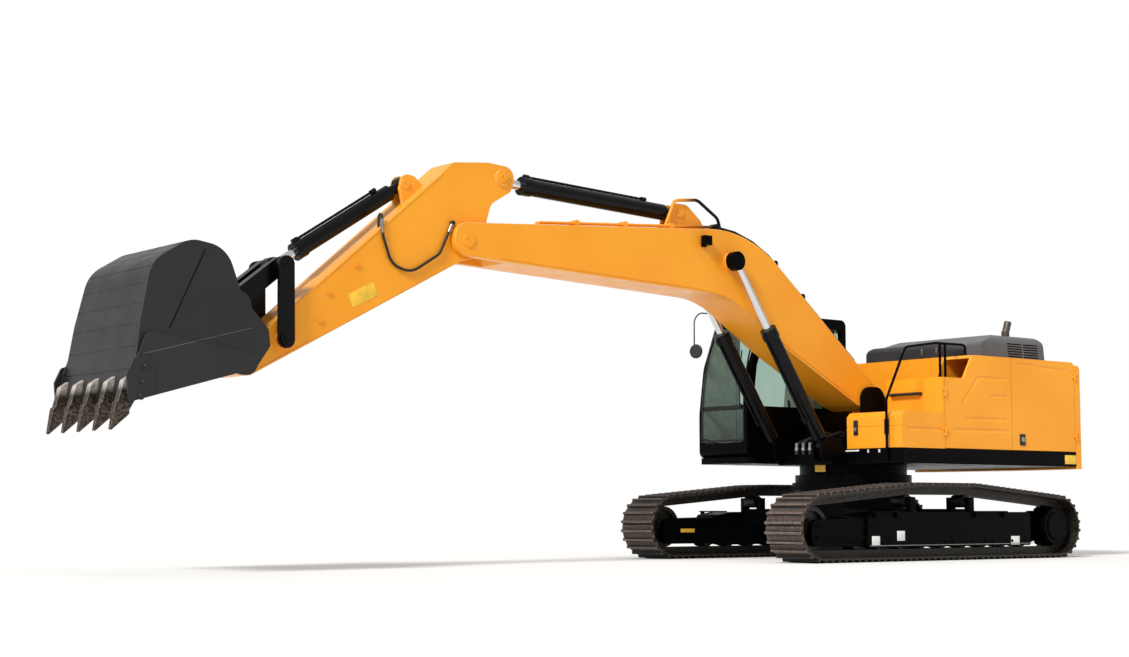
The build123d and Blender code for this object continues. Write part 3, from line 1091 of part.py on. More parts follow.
def boom_pipes():
    """Steel pipes on clips along the boom's back, and the loop over the arm cylinder's bracket."""
    made = None
    foot, start, middle, end, last = BOOM_PIPE_ROUTE
    rise = atan2(middle[1] - start[1], middle[0] - start[0])
    turn = atan2(end[1] - middle[1], end[0] - middle[0]) - rise
    place = toward(middle, start, BOOM_PIPE_SWEEP * tan(-turn / 2))
    reach = BOOM_PIPE_SWEEP * tan(-turn / BOOM_PIPE_BENDS / 2)
    route = [foot, start]
    for number in range(BOOM_PIPE_BENDS):
        way = rise + turn * number / BOOM_PIPE_BENDS
        step = reach if number == 0 else 2 * reach
        place = (place[0] + step * cos(way), place[1] + step * sin(way))
        route.append(place)
    route += [end, last]
    for y in (BOOM_PIPE_Y, BOOM_PIPE_Y + 2 * PIPE_RADIUS + 24):
        run = pipe([(x, y, z) for x, z in route], [32] + [90] * BOOM_PIPE_BENDS + [32], PIPE_RADIUS)
        made = run if made is None else made + run
    for start, end, places in ((BOOM_PIPE_ROUTE[1], BOOM_PIPE_ROUTE[2], (560, 1240, 1860)),
                               (BOOM_PIPE_ROUTE[3], BOOM_PIPE_ROUTE[2], (560, 1300, 2040, 2780))):
        for place in places:
            centre = toward(start, end, place)
            made += cross(centre, 38, BOOM_PIPE_Y - 28, BOOM_PIPE_Y + 2 * PIPE_RADIUS + 52)
    y = ARM_CYL_EYE_HALF + SIDE_GAP + 40 + 30
    made += pipe([(x, y, z) for x, z in ARM_LOOP_ROUTE], [120, 150, 100], LOOP_RADIUS)
    return made - side_slab(BOOM_SIDE, -BOOM_HALF, BOOM_HALF)


def arm_hose():
    """Hose between its fittings on the arm's left side and on its top plate."""
    y = ARM_HALF + ARM_HOSE_RADIUS + 12
    inside = ARM_HALF - 65
    route = [(x, y, z) for x, z in ARM_HOSE_ROUTE]
    route += [(7560, y, 3800), (7540, inside, 3810), (7540, inside, 3640)]
    hose = pipe(route, [160, 260, 200, 120, 40, 40], ARM_HOSE_RADIUS)
    x, z = ARM_HOSE_ROUTE[0]
    hose += cross((x, z), ARM_HOSE_RADIUS + 10, ARM_HALF, y + ARM_HOSE_RADIUS + 6)
    return hose - side_slab(ARM_SIDE, -ARM_HALF, ARM_HALF)


def foot_hoses():
    """Hoses that arch from the front of the deck back to the middle beam, under the boom."""
    made = None
    top = DECK_TOP - 60
    for number in range(4):
        y = (number - 1.5) * 120
        rise = 20 * (number % 2)
        hose = pipe([(860, y, top), (860, y, 1480 + rise), (420, y, 1610 + rise), (180, y, 1560),
                     (180, y, top)],
                    [90, 160, 120], HOSE_RADIUS)
        for x in (860, 180):
            hose += Pos(x, y, top + 25) * Cylinder(HOSE_RADIUS + 9, 50)
        made = hose if made is None else made + hose
    return made


NODES = {
    "car_body": car_body,
    "swing_bearing": swing_bearing,
    "left_track_frame": lambda: track_frame(1),
    "right_track_frame": lambda: track_frame(-1),
    "left_track": lambda: track(1),
    "right_track": lambda: track(-1),
    "idlers": idlers,
    "final_drives": final_drives,
    "rollers": rollers,
    "upper_frame": upper_frame,
    "counterweight": counterweight,
    "housing": housing,
    "front_cover": front_cover,
    "engine": engine,
    "tool_box": tool_box,
    "hand_rails": hand_rails,
    "foot_hoses": foot_hoses,
    "cab_mirror": cab_mirror,
    "hood": hood,
    "exhaust": exhaust,
    "left_front_door": left_front_door,
    "left_rear_door": left_rear_door,
    "right_front_door": right_front_door,
    "right_rear_door": right_rear_door,
    "cab_frame": cab_frame,
    "cab_glass": cab_glass,
    "cab_door": cab_door,
    "cab_door_glass": cab_door_glass,
    "operator_seat": operator_seat,
    "cab_controls": cab_controls,
    "boom_body": boom_body,
    "boom_lamp": boom_lamp,
    "boom_cylinder_barrels": boom_cylinder_barrels,
    "boom_cylinder_rods": boom_cylinder_rods,
    "boom_pipes": boom_pipes,
    "arm_body": arm_body,
    "arm_hose": arm_hose,
    "arm_cylinder_barrel": arm_cylinder_barrel,
    "arm_cylinder_rod": arm_cylinder_rod,
    "bucket_cylinder_barrel": bucket_cylinder_barrel,
    "bucket_cylinder_rod": bucket_cylinder_rod,
    "guide_links": guide_links,
    "bucket_link": bucket_link,
    "bucket_shell": bucket_shell,
    "bucket_teeth": bucket_teeth,
}

MIDDLE_X = (TOOTH_TIP_X - TAIL_RADIUS) / 2

os.makedirs("parts", exist_ok=True)
for name, make in NODES.items():
    export_step(make().moved(Location((-MIDDLE_X, 0, 0))), f"parts/{name}.step")
print("swing centre at x =", -MIDDLE_X)
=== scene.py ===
import json
import math

import bmesh
import bpy
from mathutils import Matrix, Vector


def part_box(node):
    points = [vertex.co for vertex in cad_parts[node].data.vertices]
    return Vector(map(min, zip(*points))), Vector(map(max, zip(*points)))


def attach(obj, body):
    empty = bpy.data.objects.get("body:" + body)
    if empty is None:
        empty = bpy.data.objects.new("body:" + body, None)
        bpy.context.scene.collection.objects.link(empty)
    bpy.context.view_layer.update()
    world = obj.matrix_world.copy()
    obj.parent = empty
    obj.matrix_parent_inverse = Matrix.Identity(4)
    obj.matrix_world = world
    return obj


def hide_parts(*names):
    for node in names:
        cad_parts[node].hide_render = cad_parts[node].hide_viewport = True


bl_info = {
    "name": "Crawler Excavator",
    "version": (1, 0, 0),
    "blender": (4, 5, 0),
    "location": "3D View > Sidebar > Excavator",
    "description": "Finishes and small pieces of a crawler excavator",
    "category": "Object",
}

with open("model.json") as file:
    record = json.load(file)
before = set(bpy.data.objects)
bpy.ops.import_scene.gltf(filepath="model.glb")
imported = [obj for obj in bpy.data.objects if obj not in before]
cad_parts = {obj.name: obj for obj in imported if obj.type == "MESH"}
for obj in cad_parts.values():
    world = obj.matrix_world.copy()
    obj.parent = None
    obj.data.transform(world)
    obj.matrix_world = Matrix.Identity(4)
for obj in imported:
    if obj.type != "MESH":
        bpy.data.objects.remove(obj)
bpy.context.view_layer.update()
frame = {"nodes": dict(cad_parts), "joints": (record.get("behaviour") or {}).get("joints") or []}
NODES = frame["nodes"]
SWING_X = next(joint["pos_m"][0] for joint in frame["joints"] if joint["name"] == "swing")


def at(x, y, z):
    """Place given from the swing centre on the ground, in metres."""
    return Vector((SWING_X + x, y, z))


# Colours and patterns


def linear(hex_colour):
    """sRGB hex value as a linear colour with alpha."""
    parts = [int(hex_colour[i : i + 2], 16) / 255 for i in (1, 3, 5)]
    return [p / 12.92 if p <= 0.04045 else ((p + 0.055) / 1.055) ** 2.4 for p in parts] + [1.0]


def colour_of(value):
    """Linear colour of a hex value, or of the setting that has this name."""
    if value.startswith("#"):
        return linear(value)
    return [*getattr(bpy.context.scene.excavator_finishes, value), 1.0]


def per_metre(size_mm):
    """Texture scale that gives a pattern this real size."""
    return 1000 / size_mm


def add(tree, kind, inputs=None, **settings):
    """Adds a node with its settings, values and links."""
    made = tree.nodes.new(kind)
    for name, value in settings.items():
        setattr(made, name, value)
    for name, value in (inputs or {}).items():
        if isinstance(value, bpy.types.NodeSocket):
            tree.links.new(value, made.inputs[name])
        else:
            made.inputs[name].default_value = value
    return made


def new_material(name):
    """Empty material with its tree, shader and place on the object."""
    material = bpy.data.materials.new(name)
    material.use_nodes = True
    tree = material.node_tree
    tree.nodes.clear()
    shader = add(tree, "ShaderNodeBsdfPrincipled")
    add(tree, "ShaderNodeOutputMaterial", {"Surface": shader.outputs["BSDF"]})
    place = add(tree, "ShaderNodeTexCoord").outputs["Object"]
    return material, tree, shader, place


def noise(tree, place, size_mm, detail=3, low=0.35, high=0.65):
    """Soft noise of a real size, stretched between two values to 0..1."""
    made = add(tree, "ShaderNodeTexNoise", {"Vector": place, "Scale": per_metre(size_mm), "Detail": detail})
    return add(tree, "ShaderNodeMapRange", {
        "Value": made.outputs["Fac"], "From Min": low, "From Max": high}).outputs["Result"]


def blend(tree, share, first, second):
    """Colour between two colours."""
    made = add(tree, "ShaderNodeMix", data_type="RGBA")
    for socket, value in ((made.inputs[0], share), (made.inputs[6], first), (made.inputs[7], second)):
        if isinstance(value, bpy.types.NodeSocket):
            tree.links.new(value, socket)
        else:
            socket.default_value = value
    return made.outputs[2]


def product(tree, first, second):
    """The product of two values or outputs."""
    return add(tree, "ShaderNodeMath", {0: first, 1: second}, operation="MULTIPLY").outputs[0]


def facing_up(tree, low, high):
    """1 on faces that look up, where dust lies, and 0 on the sides."""
    normal = add(tree, "ShaderNodeNewGeometry").outputs["Normal"]
    z = add(tree, "ShaderNodeSeparateXYZ", {"Vector": normal}).outputs["Z"]
    return add(tree, "ShaderNodeMapRange", {"Value": z, "From Min": low, "From Max": high}).outputs["Result"]


def worn_edges(tree, radius_mm):
    """Rounded normal near edges, and how far it leaves the face's own."""
    rounded = add(tree, "ShaderNodeBevel", {"Radius": radius_mm / 1000}, samples=4).outputs["Normal"]
    normal = add(tree, "ShaderNodeNewGeometry").outputs["Normal"]
    likeness = add(tree, "ShaderNodeVectorMath", {0: rounded, 1: normal}, operation="DOT_PRODUCT")
    edge = add(tree, "ShaderNodeMapRange", {
        "Value": likeness.outputs["Value"], "From Min": 0.995, "From Max": 0.85}).outputs["Result"]
    return rounded, edge


def hollows(tree, reach_mm, low, high):
    """1 on open faces and 0 in hollows, by ambient occlusion: a mask for painted shade in the hollows, where
    oily dirt also stays and wear doesn't reach.
    """
    openness = add(tree, "ShaderNodeAmbientOcclusion", {"Distance": reach_mm / 1000}, samples=8)
    return add(tree, "ShaderNodeMapRange", {
        "Value": openness.outputs["AO"], "From Min": low, "From Max": high}).outputs["Result"]


DRY_SOIL = "#A08A70"
POLISHED_STEEL = "#CFC6BC"


def enamel(name, colour, shade, roughness, dust, dust_colour,
           edge_mm=6, coat=0.1, specular=0.3, edge_highlight_colour=None):
    """Baked enamel on sheet steel: an even gloss with a faint orange peel, and dust where it can lie; an edge
    colour, when given, paints a highlight along the edges.
    """
    material, tree, shader, place = new_material(name)
    rounded, edge = worn_edges(tree, edge_mm)
    clouds = noise(tree, place, 900)
    base = blend(tree, clouds, colour_of(colour), colour_of(shade))
    lying = product(tree, facing_up(tree, 0.3, 1.0), noise(tree, place, 120, 6, 0.4, 0.75))
    low = product(tree, lying, dust)
    base = blend(tree, low, base, linear(dust_colour))
    # A pale painted highlight along the edges
    if edge_highlight_colour is not None:
        base = blend(tree, product(tree, edge, 0.8), base, linear(edge_highlight_colour))
    tree.links.new(base, shader.inputs["Base Color"])
    # Orange peel is finer than this on a real panel; it is drawn coarser so that it shows
    peel = add(tree, "ShaderNodeTexNoise", {"Vector": place, "Scale": per_metre(9), "Detail": 2})
    bump = add(tree, "ShaderNodeBump", {
        "Height": peel.outputs["Fac"], "Normal": rounded, "Strength": 0.04, "Distance": 0.001})
    tree.links.new(bump.outputs["Normal"], shader.inputs["Normal"])
    rough = add(tree, "ShaderNodeMapRange", {
        "Value": noise(tree, place, 260, 4), "To Min": roughness, "To Max": roughness + 0.12})
    tree.links.new(rough.outputs["Result"], shader.inputs["Roughness"])
    shader.inputs["Specular IOR Level"].default_value = specular
    shader.inputs["Coat Weight"].default_value = coat
    shader.inputs["Coat Roughness"].default_value = 0.12
    return material


def worn_steel(name, colour, shade, bright, edge_mm, dust, roughness, metallic,
               grime_and_shade=None, rubbed_above=None):
    """Bare rolled or cast steel: dull and dusty, rubbed bright along its edges; painted shade and oily dirt
    darken its hollows when a colour is given for them.
    """
    material, tree, shader, place = new_material(name)
    rounded, edge = worn_edges(tree, edge_mm)
    rust = noise(tree, place, 60, 6, 0.35, 0.7)
    base = blend(tree, rust, linear(colour), linear(shade))
    soil = product(tree, noise(tree, place, 25, 5, 0.42, 0.62), dust)
    base = blend(tree, soil, base, linear(DRY_SOIL))
    rubbed = product(tree, edge, noise(tree, place, 18, 4, 0.3, 0.6))
    base = blend(tree, rubbed, base, linear(bright))
    if rubbed_above is not None:
        # Spoil that slides off the lip polishes the roots of the adapters
        height = add(tree, "ShaderNodeSeparateXYZ", {"Vector": place}).outputs["Z"]
        root = add(tree, "ShaderNodeMapRange", {
            "Value": height, "From Min": rubbed_above - 0.03, "From Max": rubbed_above + 0.05})
        streaks = noise(tree, place, 30, 4, 0.2, 0.5)
        base = blend(tree, product(tree, root.outputs["Result"], streaks), base, linear(POLISHED_STEEL))
    # Near black in the hollows, by ambient occlusion: painted shade, with oily dirt
    if grime_and_shade is not None:
        base = blend(tree, hollows(tree, reach_mm=120, low=0.68, high=0.97), linear(grime_and_shade), base)
    tree.links.new(base, shader.inputs["Base Color"])
    grain = add(tree, "ShaderNodeTexNoise", {"Vector": place, "Scale": per_metre(6), "Detail": 6})
    bump = add(tree, "ShaderNodeBump", {
        "Height": grain.outputs["Fac"], "Normal": rounded, "Strength": 0.25, "Distance": 0.002})
    tree.links.new(bump.outputs["Normal"], shader.inputs["Normal"])
    shader.inputs["Metallic"].default_value = metallic
    shader.inputs["Roughness"].default_value = roughness
    return material


def hard_chrome(name):
    """Ground and hard-chromed rod: a near mirror with faint smears."""
    material, tree, shader, place = new_material(name)
    shader.inputs["Base Color"].default_value = linear("#D9DADB")
    shader.inputs["Metallic"].default_value = 1
    rough = add(tree, "ShaderNodeMapRange", {
        "Value": noise(tree, place, 40, 4), "To Min": 0.1, "To Max": 0.2}).outputs["Result"]
    tree.links.new(rough, shader.inputs["Roughness"])
    return material


def tinted_glass(name):
    """Laminated green-tinted safety glass: it dims what lies behind it and mirrors the sky at a slant."""
    material, tree, shader, place = new_material(name)
    clear = add(tree, "ShaderNodeBsdfTransparent", {"Color": colour_of("glass_tint")})
    smear = add(tree, "ShaderNodeMapRange", {
        "Value": noise(tree, place, 180, 5, 0.45, 0.8), "To Min": 0.02, "To Max": 0.1}).outputs["Result"]
    gloss = add(tree, "ShaderNodeBsdfGlossy", {"Color": linear("#F4F8F6"), "Roughness": smear})
    slant = add(tree, "ShaderNodeFresnel", {"IOR": 1.5}).outputs[0]
    # Light leaving the pane's far face isn't mirrored again, so only its near faces shine
    inside = add(tree, "ShaderNodeNewGeometry").outputs["Backfacing"]
    near = add(tree, "ShaderNodeMath", {0: 1.0, 1: inside}, operation="SUBTRACT").outputs[0]
    mixed = add(tree, "ShaderNodeMixShader", {
        0: product(tree, slant, near), 1: clear.outputs[0], 2: gloss.outputs[0]})
    tree.nodes.remove(shader)
    output = [node for node in tree.nodes if node.type == "OUTPUT_MATERIAL"][0]
    tree.links.new(mixed.outputs[0], output.inputs["Surface"])
    return material


def moulded(name, colour, roughness, grain_mm=2.5, strength=0.15):
    """Moulded plastic or rubber, matt with a fine pebbled grain, or smoother as on a plate or a lamp."""
    material, tree, shader, place = new_material(name)
    base = blend(tree, noise(tree, place, 80), linear(colour), [c * 0.8 for c in linear(colour)[:3]] + [1])
    tree.links.new(base, shader.inputs["Base Color"])
    grain = add(tree, "ShaderNodeTexVoronoi", {"Vector": place, "Scale": per_metre(grain_mm)})
    bump = add(tree, "ShaderNodeBump", {
        "Height": grain.outputs["Distance"], "Strength": strength, "Distance": 0.0006})
    tree.links.new(bump.outputs["Normal"], shader.inputs["Normal"])
    shader.inputs["Roughness"].default_value = roughness
    return material


def cover_cloth(name):
    """Pale cotton cover of the cushions: a soft weave with a slight sheen."""
    material, tree, shader, place = new_material(name)
    weave = add(tree, "ShaderNodeTexWave", {
        "Vector": place, "Scale": per_metre(14), "Distortion": 1.5, "Detail": 2}, bands_direction="DIAGONAL")
    base = blend(tree, weave.outputs["Fac"], linear("#D8D8D2"), linear("#BFC0BA"))
    tree.links.new(base, shader.inputs["Base Color"])
    bump = add(tree, "ShaderNodeBump", {"Height": weave.outputs["Fac"], "Strength": 0.2, "Distance": 0.001})
    tree.links.new(bump.outputs["Normal"], shader.inputs["Normal"])
    shader.inputs["Roughness"].default_value = 0.7
    shader.inputs["Sheen Weight"].default_value = 0.3
    return material


FINISHES = {
    # Baked body enamel: a warm orange yellow with a soft gloss and pale dust
    "yellow_enamel": (enamel, dict(
        colour="body_colour", shade="body_shade", roughness=0.3, dust=0.14, dust_colour="#E6C08A")),
    # Flame cut flange edges of the boom and the arm, with a pale painted highlight along them where they
    # catch the sun
    "flange_enamel": (enamel, dict(
        colour="body_colour", shade="body_shade", roughness=0.3, dust=0.14, dust_colour="#E6C08A",
        edge_mm=11, edge_highlight_colour="#FFDFA6")),
    # Enamel sprayed on the bucket's thick plates: a dark grey that still mirrors the floor a little
    "charcoal_enamel": (enamel, dict(
        colour="#1D1D21", shade="#17171A", roughness=0.36, dust=0.2, dust_colour="#6E675E",
        edge_mm=8, coat=0.08, specular=0.45)),
    # Satin chassis enamel: hardly any mirror, so flat faces stay black under a pale sky
    "black_enamel": (enamel, dict(
        colour="#050506", shade="#030304", roughness=0.3, dust=0.1, dust_colour="#4E463C",
        coat=0.0, specular=0.04)),
    # Gloss enamel on turned barrels and links: a thin highlight along each tube
    "barrel_enamel": (enamel, dict(
        colour="#070709", shade="#050506", roughness=0.2, dust=0.06, dust_colour="#5E564C",
        edge_mm=5, coat=0.06, specular=0.14)),
    # Grey enamel of the pressed hood, dulled by dust on its top
    "grey_enamel": (enamel, dict(
        colour="hood_colour", shade="#535458", roughness=0.38, dust=0.3, dust_colour="#8A857C")),
    # The same enamel in a darker grey, less dusty, on the cover ahead of the hood
    "cover_enamel": (enamel, dict(
        colour="#35363A", shade="#2A2B2E", roughness=0.34, dust=0.2, dust_colour="#8A857C")),
    # Rolled shoe steel: brown with dry soil, bright along the bars, and near black between them: painted
    # shade, with oily dirt
    "track_steel": (worn_steel, dict(
        colour="#564740", shade="#352B26", bright="#DCCBBE", edge_mm=12, dust=0.3,
        roughness=0.6, metallic=0.2, grime_and_shade="#070605")),
    # Oiled steel of the wheels, the chain and its rollers: near black
    "oily_steel": (worn_steel, dict(
        colour="#12100F", shade="#0A0908", bright="#4E4740", edge_mm=8, dust=0.1,
        roughness=0.45, metallic=0.3)),
    # Cast tooth steel: dark brown points, and roots that the spoil polishes
    "tooth_steel": (worn_steel, dict(
        colour="#2B221D", shade="#191310", bright="#A89A8E", edge_mm=8, dust=0.25,
        roughness=0.45, metallic=0.4, rubbed_above=1.78)),
    # Bare pipe stained by heat: a warm mid grey
    "exhaust_steel": (worn_steel, dict(
        colour="#5B5650", shade="#3F3A36", bright="#8F8880", edge_mm=5, dust=0.2,
        roughness=0.5, metallic=0.8)),
    # Zinc plated steel of latches, clips and hose ends: pale and finely worn
    "bright_steel": (worn_steel, dict(
        colour="#A8A8A6", shade="#8C8C8A", bright="#D5D5D2", edge_mm=3, dust=0.15,
        roughness=0.35, metallic=0.9)),
    "hard_chrome": (hard_chrome, {}),
    "tinted_glass": (tinted_glass, {}),
    # Nitrile rubber of hoses, seals and grips: matt black
    "black_rubber": (moulded, dict(colour="#151515", roughness=0.6)),
    # Moulded ABS: a little smoother than the rubber, and a cold black
    "dark_plastic": (moulded, dict(colour="#202124", roughness=0.5)),
    # Smooth vinyl plates, blank: one even colour with a soft shine
    "white_plate": (moulded, dict(colour="#E9E9E6", roughness=0.4, grain_mm=6, strength=0.03)),
    "yellow_plate": (moulded, dict(colour="#FBC63A", roughness=0.4, grain_mm=6, strength=0.03)),
    # Ribbed polycarbonate lens: bright, with broken reflections
    "lamp_glass": (moulded, dict(colour="#E8ECEE", roughness=0.15, grain_mm=12, strength=0.3)),
    "cover_cloth": (cover_cloth, {}),
    # Moulded lining of the cab: a pale grey green that brightens the inside
    "cab_lining": (moulded, dict(colour="#B9C1BB", roughness=0.6, grain_mm=3, strength=0.1)),
}
MATERIALS = {}


def finish(name):
    """The named finish, made when it is first asked for."""
    if name not in MATERIALS:
        maker, values = FINISHES[name]
        MATERIALS[name] = maker(name, **values)
    return MATERIALS[name]


NODE_FINISHES = {
    "yellow_enamel": ["counterweight", "housing", "tool_box", "left_front_door", "left_rear_door",
                      "right_front_door", "right_rear_door"],
    "flange_enamel": ["boom_body", "arm_body"],
    "black_enamel": ["car_body", "left_track_frame", "right_track_frame", "swing_bearing", "final_drives",
                     "upper_frame", "engine", "hand_rails", "cab_frame", "cab_door", "boom_lamp"],
    "barrel_enamel": ["boom_cylinder_barrels", "arm_cylinder_barrel", "bucket_cylinder_barrel", "guide_links",
                      "bucket_link", "boom_pipes"],
    "black_rubber": ["foot_hoses", "arm_hose"],
    "grey_enamel": ["hood"],
    "cover_enamel": ["front_cover"],
    "charcoal_enamel": ["bucket_shell"],
    "track_steel": ["left_track", "right_track"],
    "oily_steel": ["idlers", "rollers"],
    "tooth_steel": ["bucket_teeth"],
    "exhaust_steel": ["exhaust"],
    "hard_chrome": ["boom_cylinder_rods", "arm_cylinder_rod", "bucket_cylinder_rod"],
    "tinted_glass": ["cab_glass", "cab_door_glass"],
    "dark_plastic": ["cab_controls", "cab_mirror"],
    "cover_cloth": ["operator_seat"],
}


# Mesh code


class Piece:
    """Mesh of one piece while it is built, in the row frame, with its finishes."""

    def __init__(self, name, *finishes):
        self.name = name
        self.finishes = finishes
        self.mesh = bmesh.new()

    def _mark(self, before, number):
        for face in self.mesh.faces[before:]:
            face.material_index = number

    def box(self, low, high, round_mm=3, number=0, turn=None):
        """Box between two corners with rounded edges, turned about its middle."""
        self.mesh.faces.ensure_lookup_table()
        before = len(self.mesh.faces)
        low, high = Vector(low), Vector(high)
        place = Matrix.Translation((low + high) / 2)
        if turn is not None:
            place = place @ turn
        scale = Matrix.Diagonal((*(high - low), 1))
        made = bmesh.ops.create_cube(self.mesh, size=1, matrix=place @ scale)
        # Each edge once, in the same order every run
        edges = list(dict.fromkeys(edge for vert in made["verts"] for edge in vert.link_edges))
        width = min(round_mm / 1000, min(abs(c) for c in high - low) * 0.4)
        bmesh.ops.bevel(self.mesh, geom=edges, offset=width, segments=2, profile=0.5, affect="EDGES")
        self.mesh.faces.ensure_lookup_table()
        self._mark(before, number)

    def rings(self, rings, number=0, closed=False, caps=True, loop=True):
        """Skin over rings of points, all with the same count; an open ring isn't joined end to end."""
        self.mesh.faces.ensure_lookup_table()
        before = len(self.mesh.faces)
        rows = [[self.mesh.verts.new(p) for p in ring] for ring in rings]
        pairs = list(zip(rows, rows[1:])) + ([(rows[-1], rows[0])] if closed else [])
        for a, b in pairs:
            for i in range(len(a) if loop else len(a) - 1):
                j = (i + 1) % len(a)
                self.mesh.faces.new((a[i], a[j], b[j], b[i]))
        if caps and not closed:
            self.mesh.faces.new(list(reversed(rows[0])))
            self.mesh.faces.new(rows[-1])
        self.mesh.faces.ensure_lookup_table()
        self._mark(before, number)

    def turned(self, centre, axis, profile, sides):
        """Profile of (distance along the axis, radius) turned round the axis."""
        spin = Vector(axis).normalized().to_track_quat("Z", "Y").to_matrix()
        rings = []
        for along, radius in profile:
            ring = []
            for k in range(sides):
                turn = 2 * math.pi * k / sides
                point = Vector((radius * math.cos(turn), radius * math.sin(turn), along))
                ring.append(Vector(centre) + spin @ point)
            rings.append(ring)
        self.rings(rings)

    def bolt(self, centre, axis, size):
        """Hexagon head with its washer, across flats `size`, standing on a face at its centre."""
        washer = [(-0.002, size * 0.95), (size * 0.16, size * 0.95)]
        head = [(size * 0.14, size * 0.58), (size * 0.62, size * 0.58), (size * 0.7, size * 0.5)]
        self.turned(centre, axis, washer, 16)
        self.turned(centre, axis, head, 6)

    def tube(self, points, radius, sides=10, number=0, turn_mm=0):
        """Round tube through points, its corners drawn round."""
        path = [Vector(point) for point in points]
        if turn_mm:
            path = rounded_path(path, turn_mm / 1000)
        rings, up = [], None
        for i, point in enumerate(path):
            ahead = (path[min(i + 1, len(path) - 1)] - path[max(i - 1, 0)]).normalized()
            if up is None:
                up = ahead.orthogonal().normalized()
            up = (up - ahead * up.dot(ahead)).normalized()
            side = ahead.cross(up)
            ring = []
            for k in range(sides):
                turn = 2 * math.pi * k / sides
                ring.append(point + up * (radius * math.cos(turn)) + side * (radius * math.sin(turn)))
            rings.append(ring)
        self.rings(rings, number)

    def pillow(self, centre, half, lean=None):
        """Closed rounded block, like a stuffed cushion, with shallow pleats across its width."""
        across, along = 28, 20

        def bent(value):
            return math.copysign(abs(value) ** 0.35, value)

        rings = []
        for i in range(1, along):
            rise = math.pi * (i / along - 0.5)
            ring = []
            for k in range(across):
                turn = 2 * math.pi * k / across
                point = Vector((bent(math.cos(rise)) * bent(math.cos(turn)) * half[0],
                                bent(math.cos(rise)) * bent(math.sin(turn)) * half[1],
                                bent(math.sin(rise)) * half[2]))
                pleat = 1 - 0.03 * abs(math.sin(point.y / half[1] * math.pi * 2))
                point.x *= pleat
                point.z *= pleat
                ring.append(Vector(centre) + (lean @ point if lean is not None else point))
            rings.append(ring)
        self.rings(rings)

    def done(self, body, smooth=35):
        """Object that moves with its body."""
        bmesh.ops.recalc_face_normals(self.mesh, faces=self.mesh.faces)
        data = bpy.data.meshes.new(self.name)
        self.mesh.to_mesh(data)
        self.mesh.free()
        for name in self.finishes:
            data.materials.append(finish(name))
        data.shade_smooth()
        data.set_sharp_from_angle(angle=math.radians(smooth))
        made = bpy.data.objects.new(self.name, data)
        bpy.context.scene.collection.objects.link(made)
        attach(made, body)
        return made


def rounded_path(points, radius, steps=6):
    """Points of a path whose corners are arcs."""
    path = [points[0]]
    for before, corner, after in zip(points, points[1:], points[2:]):
        back, ahead = (before - corner), (after - corner)
        reach = min(radius, back.length * 0.45, ahead.length * 0.45)
        start, end = corner + back.normalized() * reach, corner + ahead.normalized() * reach
        for k in range(steps + 1):
            t = k / steps
            path.append(start * (1 - t) ** 2 + corner * 2 * t * (1 - t) + end * t ** 2)
    return path + [points[-1]]


# Settings


def colour_setting(name, description, hex_colour):
    """Colour property with its default given in sRGB."""
    return bpy.props.FloatVectorProperty(
        name=name, description=description, subtype="COLOR", default=linear(hex_colour)[:3])


class EXCAVATOR_PG_hardware(bpy.types.PropertyGroup):
    bolt_size: bpy.props.FloatProperty(
        name="Bolt size", description="Width across the flats that every bolt is scaled from",
        default=0.03, unit="LENGTH")
    weld_width: bpy.props.FloatProperty(
        name="Weld width", description="Width of the weld beads", default=0.012, unit="LENGTH")
    plate_thickness: bpy.props.FloatProperty(
        name="Plate thickness", description="Thickness of the blank plates", default=0.003, unit="LENGTH")


class EXCAVATOR_PG_finishes(bpy.types.PropertyGroup):
    body_colour: colour_setting("Body", "Enamel of the body, boom and arm", "#F7A325")
    body_shade: colour_setting("Body shade", "Colour that the body's enamel drifts to", "#F19A1D")
    hood_colour: colour_setting("Hood", "Enamel of the engine hood", "#5E5F62")
    glass_tint: colour_setting("Glass", "Tint of the cab's glass", "#E3ECE8")


class EXCAVATOR_PG_stage(bpy.types.PropertyGroup):
    lens: bpy.props.FloatProperty(name="Lens", description="Focal length", default=60.97, unit="CAMERA")
    sun: bpy.props.FloatProperty(name="Key light", description="Strength of the key light", default=2.9)
    sky: bpy.props.FloatProperty(name="Fill light", description="Strength of the surroundings", default=0.62)
    floor: colour_setting("Floor", "Colour of the floor", "#F2F2F0")


# Pieces


# Parts of a piece that have another finish: (piece, finish, middle from the swing centre, reach)
FINISH_SPOTS = [
    ("boom_cylinder_rods", "black_enamel", (2.5, None, 3.68), 0.13),
    ("arm_cylinder_rod", "barrel_enamel", (5.93, None, 4.375), 0.125),
    ("bucket_cylinder_rod", "barrel_enamel", (8.765, None, 3.155), 0.115),
    ("boom_lamp", "lamp_glass", (2.985, None, 3.9075), 0.004),
    ("boom_pipes", "yellow_enamel", (4.4, None, None), 1.35),
]
# Where the two end wheels of each track have their axles, from the swing centre
TRACK_ENDS = ((-2.232, 0.412), (2.232, 0.412))
# Outer faces of the track frames and of the housing, from the middle plane
FRAME_SIDE_Y = 1.535
HOUSING_SIDE_Y = 1.43


def paint_spot(node, name, middle, reach):
    """Gives the faces near a place another finish; an axis without a value doesn't count."""
    data = NODES[node].data
    data.materials.append(finish(name))
    number = len(data.materials) - 1
    centre = [None if value is None else value + offset for value, offset in zip(middle, (SWING_X, 0, 0))]
    for face in data.polygons:
        gaps = [(face.center[i] - value) ** 2 for i, value in enumerate(centre) if value is not None]
        if math.sqrt(sum(gaps)) < reach:
            face.material_index = number


def paint_track_inside(node):
    """Oily steel on the shoes' ends and inside the loop, where the chain and its rollers run."""
    data = NODES[node].data
    data.materials.append(finish("oily_steel"))
    rear, front = (Vector((SWING_X + x, z)) for x, z in TRACK_ENDS)
    for face in data.polygons:
        middle = Vector((face.center.x, face.center.z))
        share = min(1, max(0, (middle - rear).dot(front - rear) / (front - rear).length_squared))
        outward = (middle - rear.lerp(front, share)).normalized()
        if abs(face.normal.y) > 0.7 or Vector((face.normal.x, face.normal.z)).dot(outward) < -0.3:
            face.material_index = 1


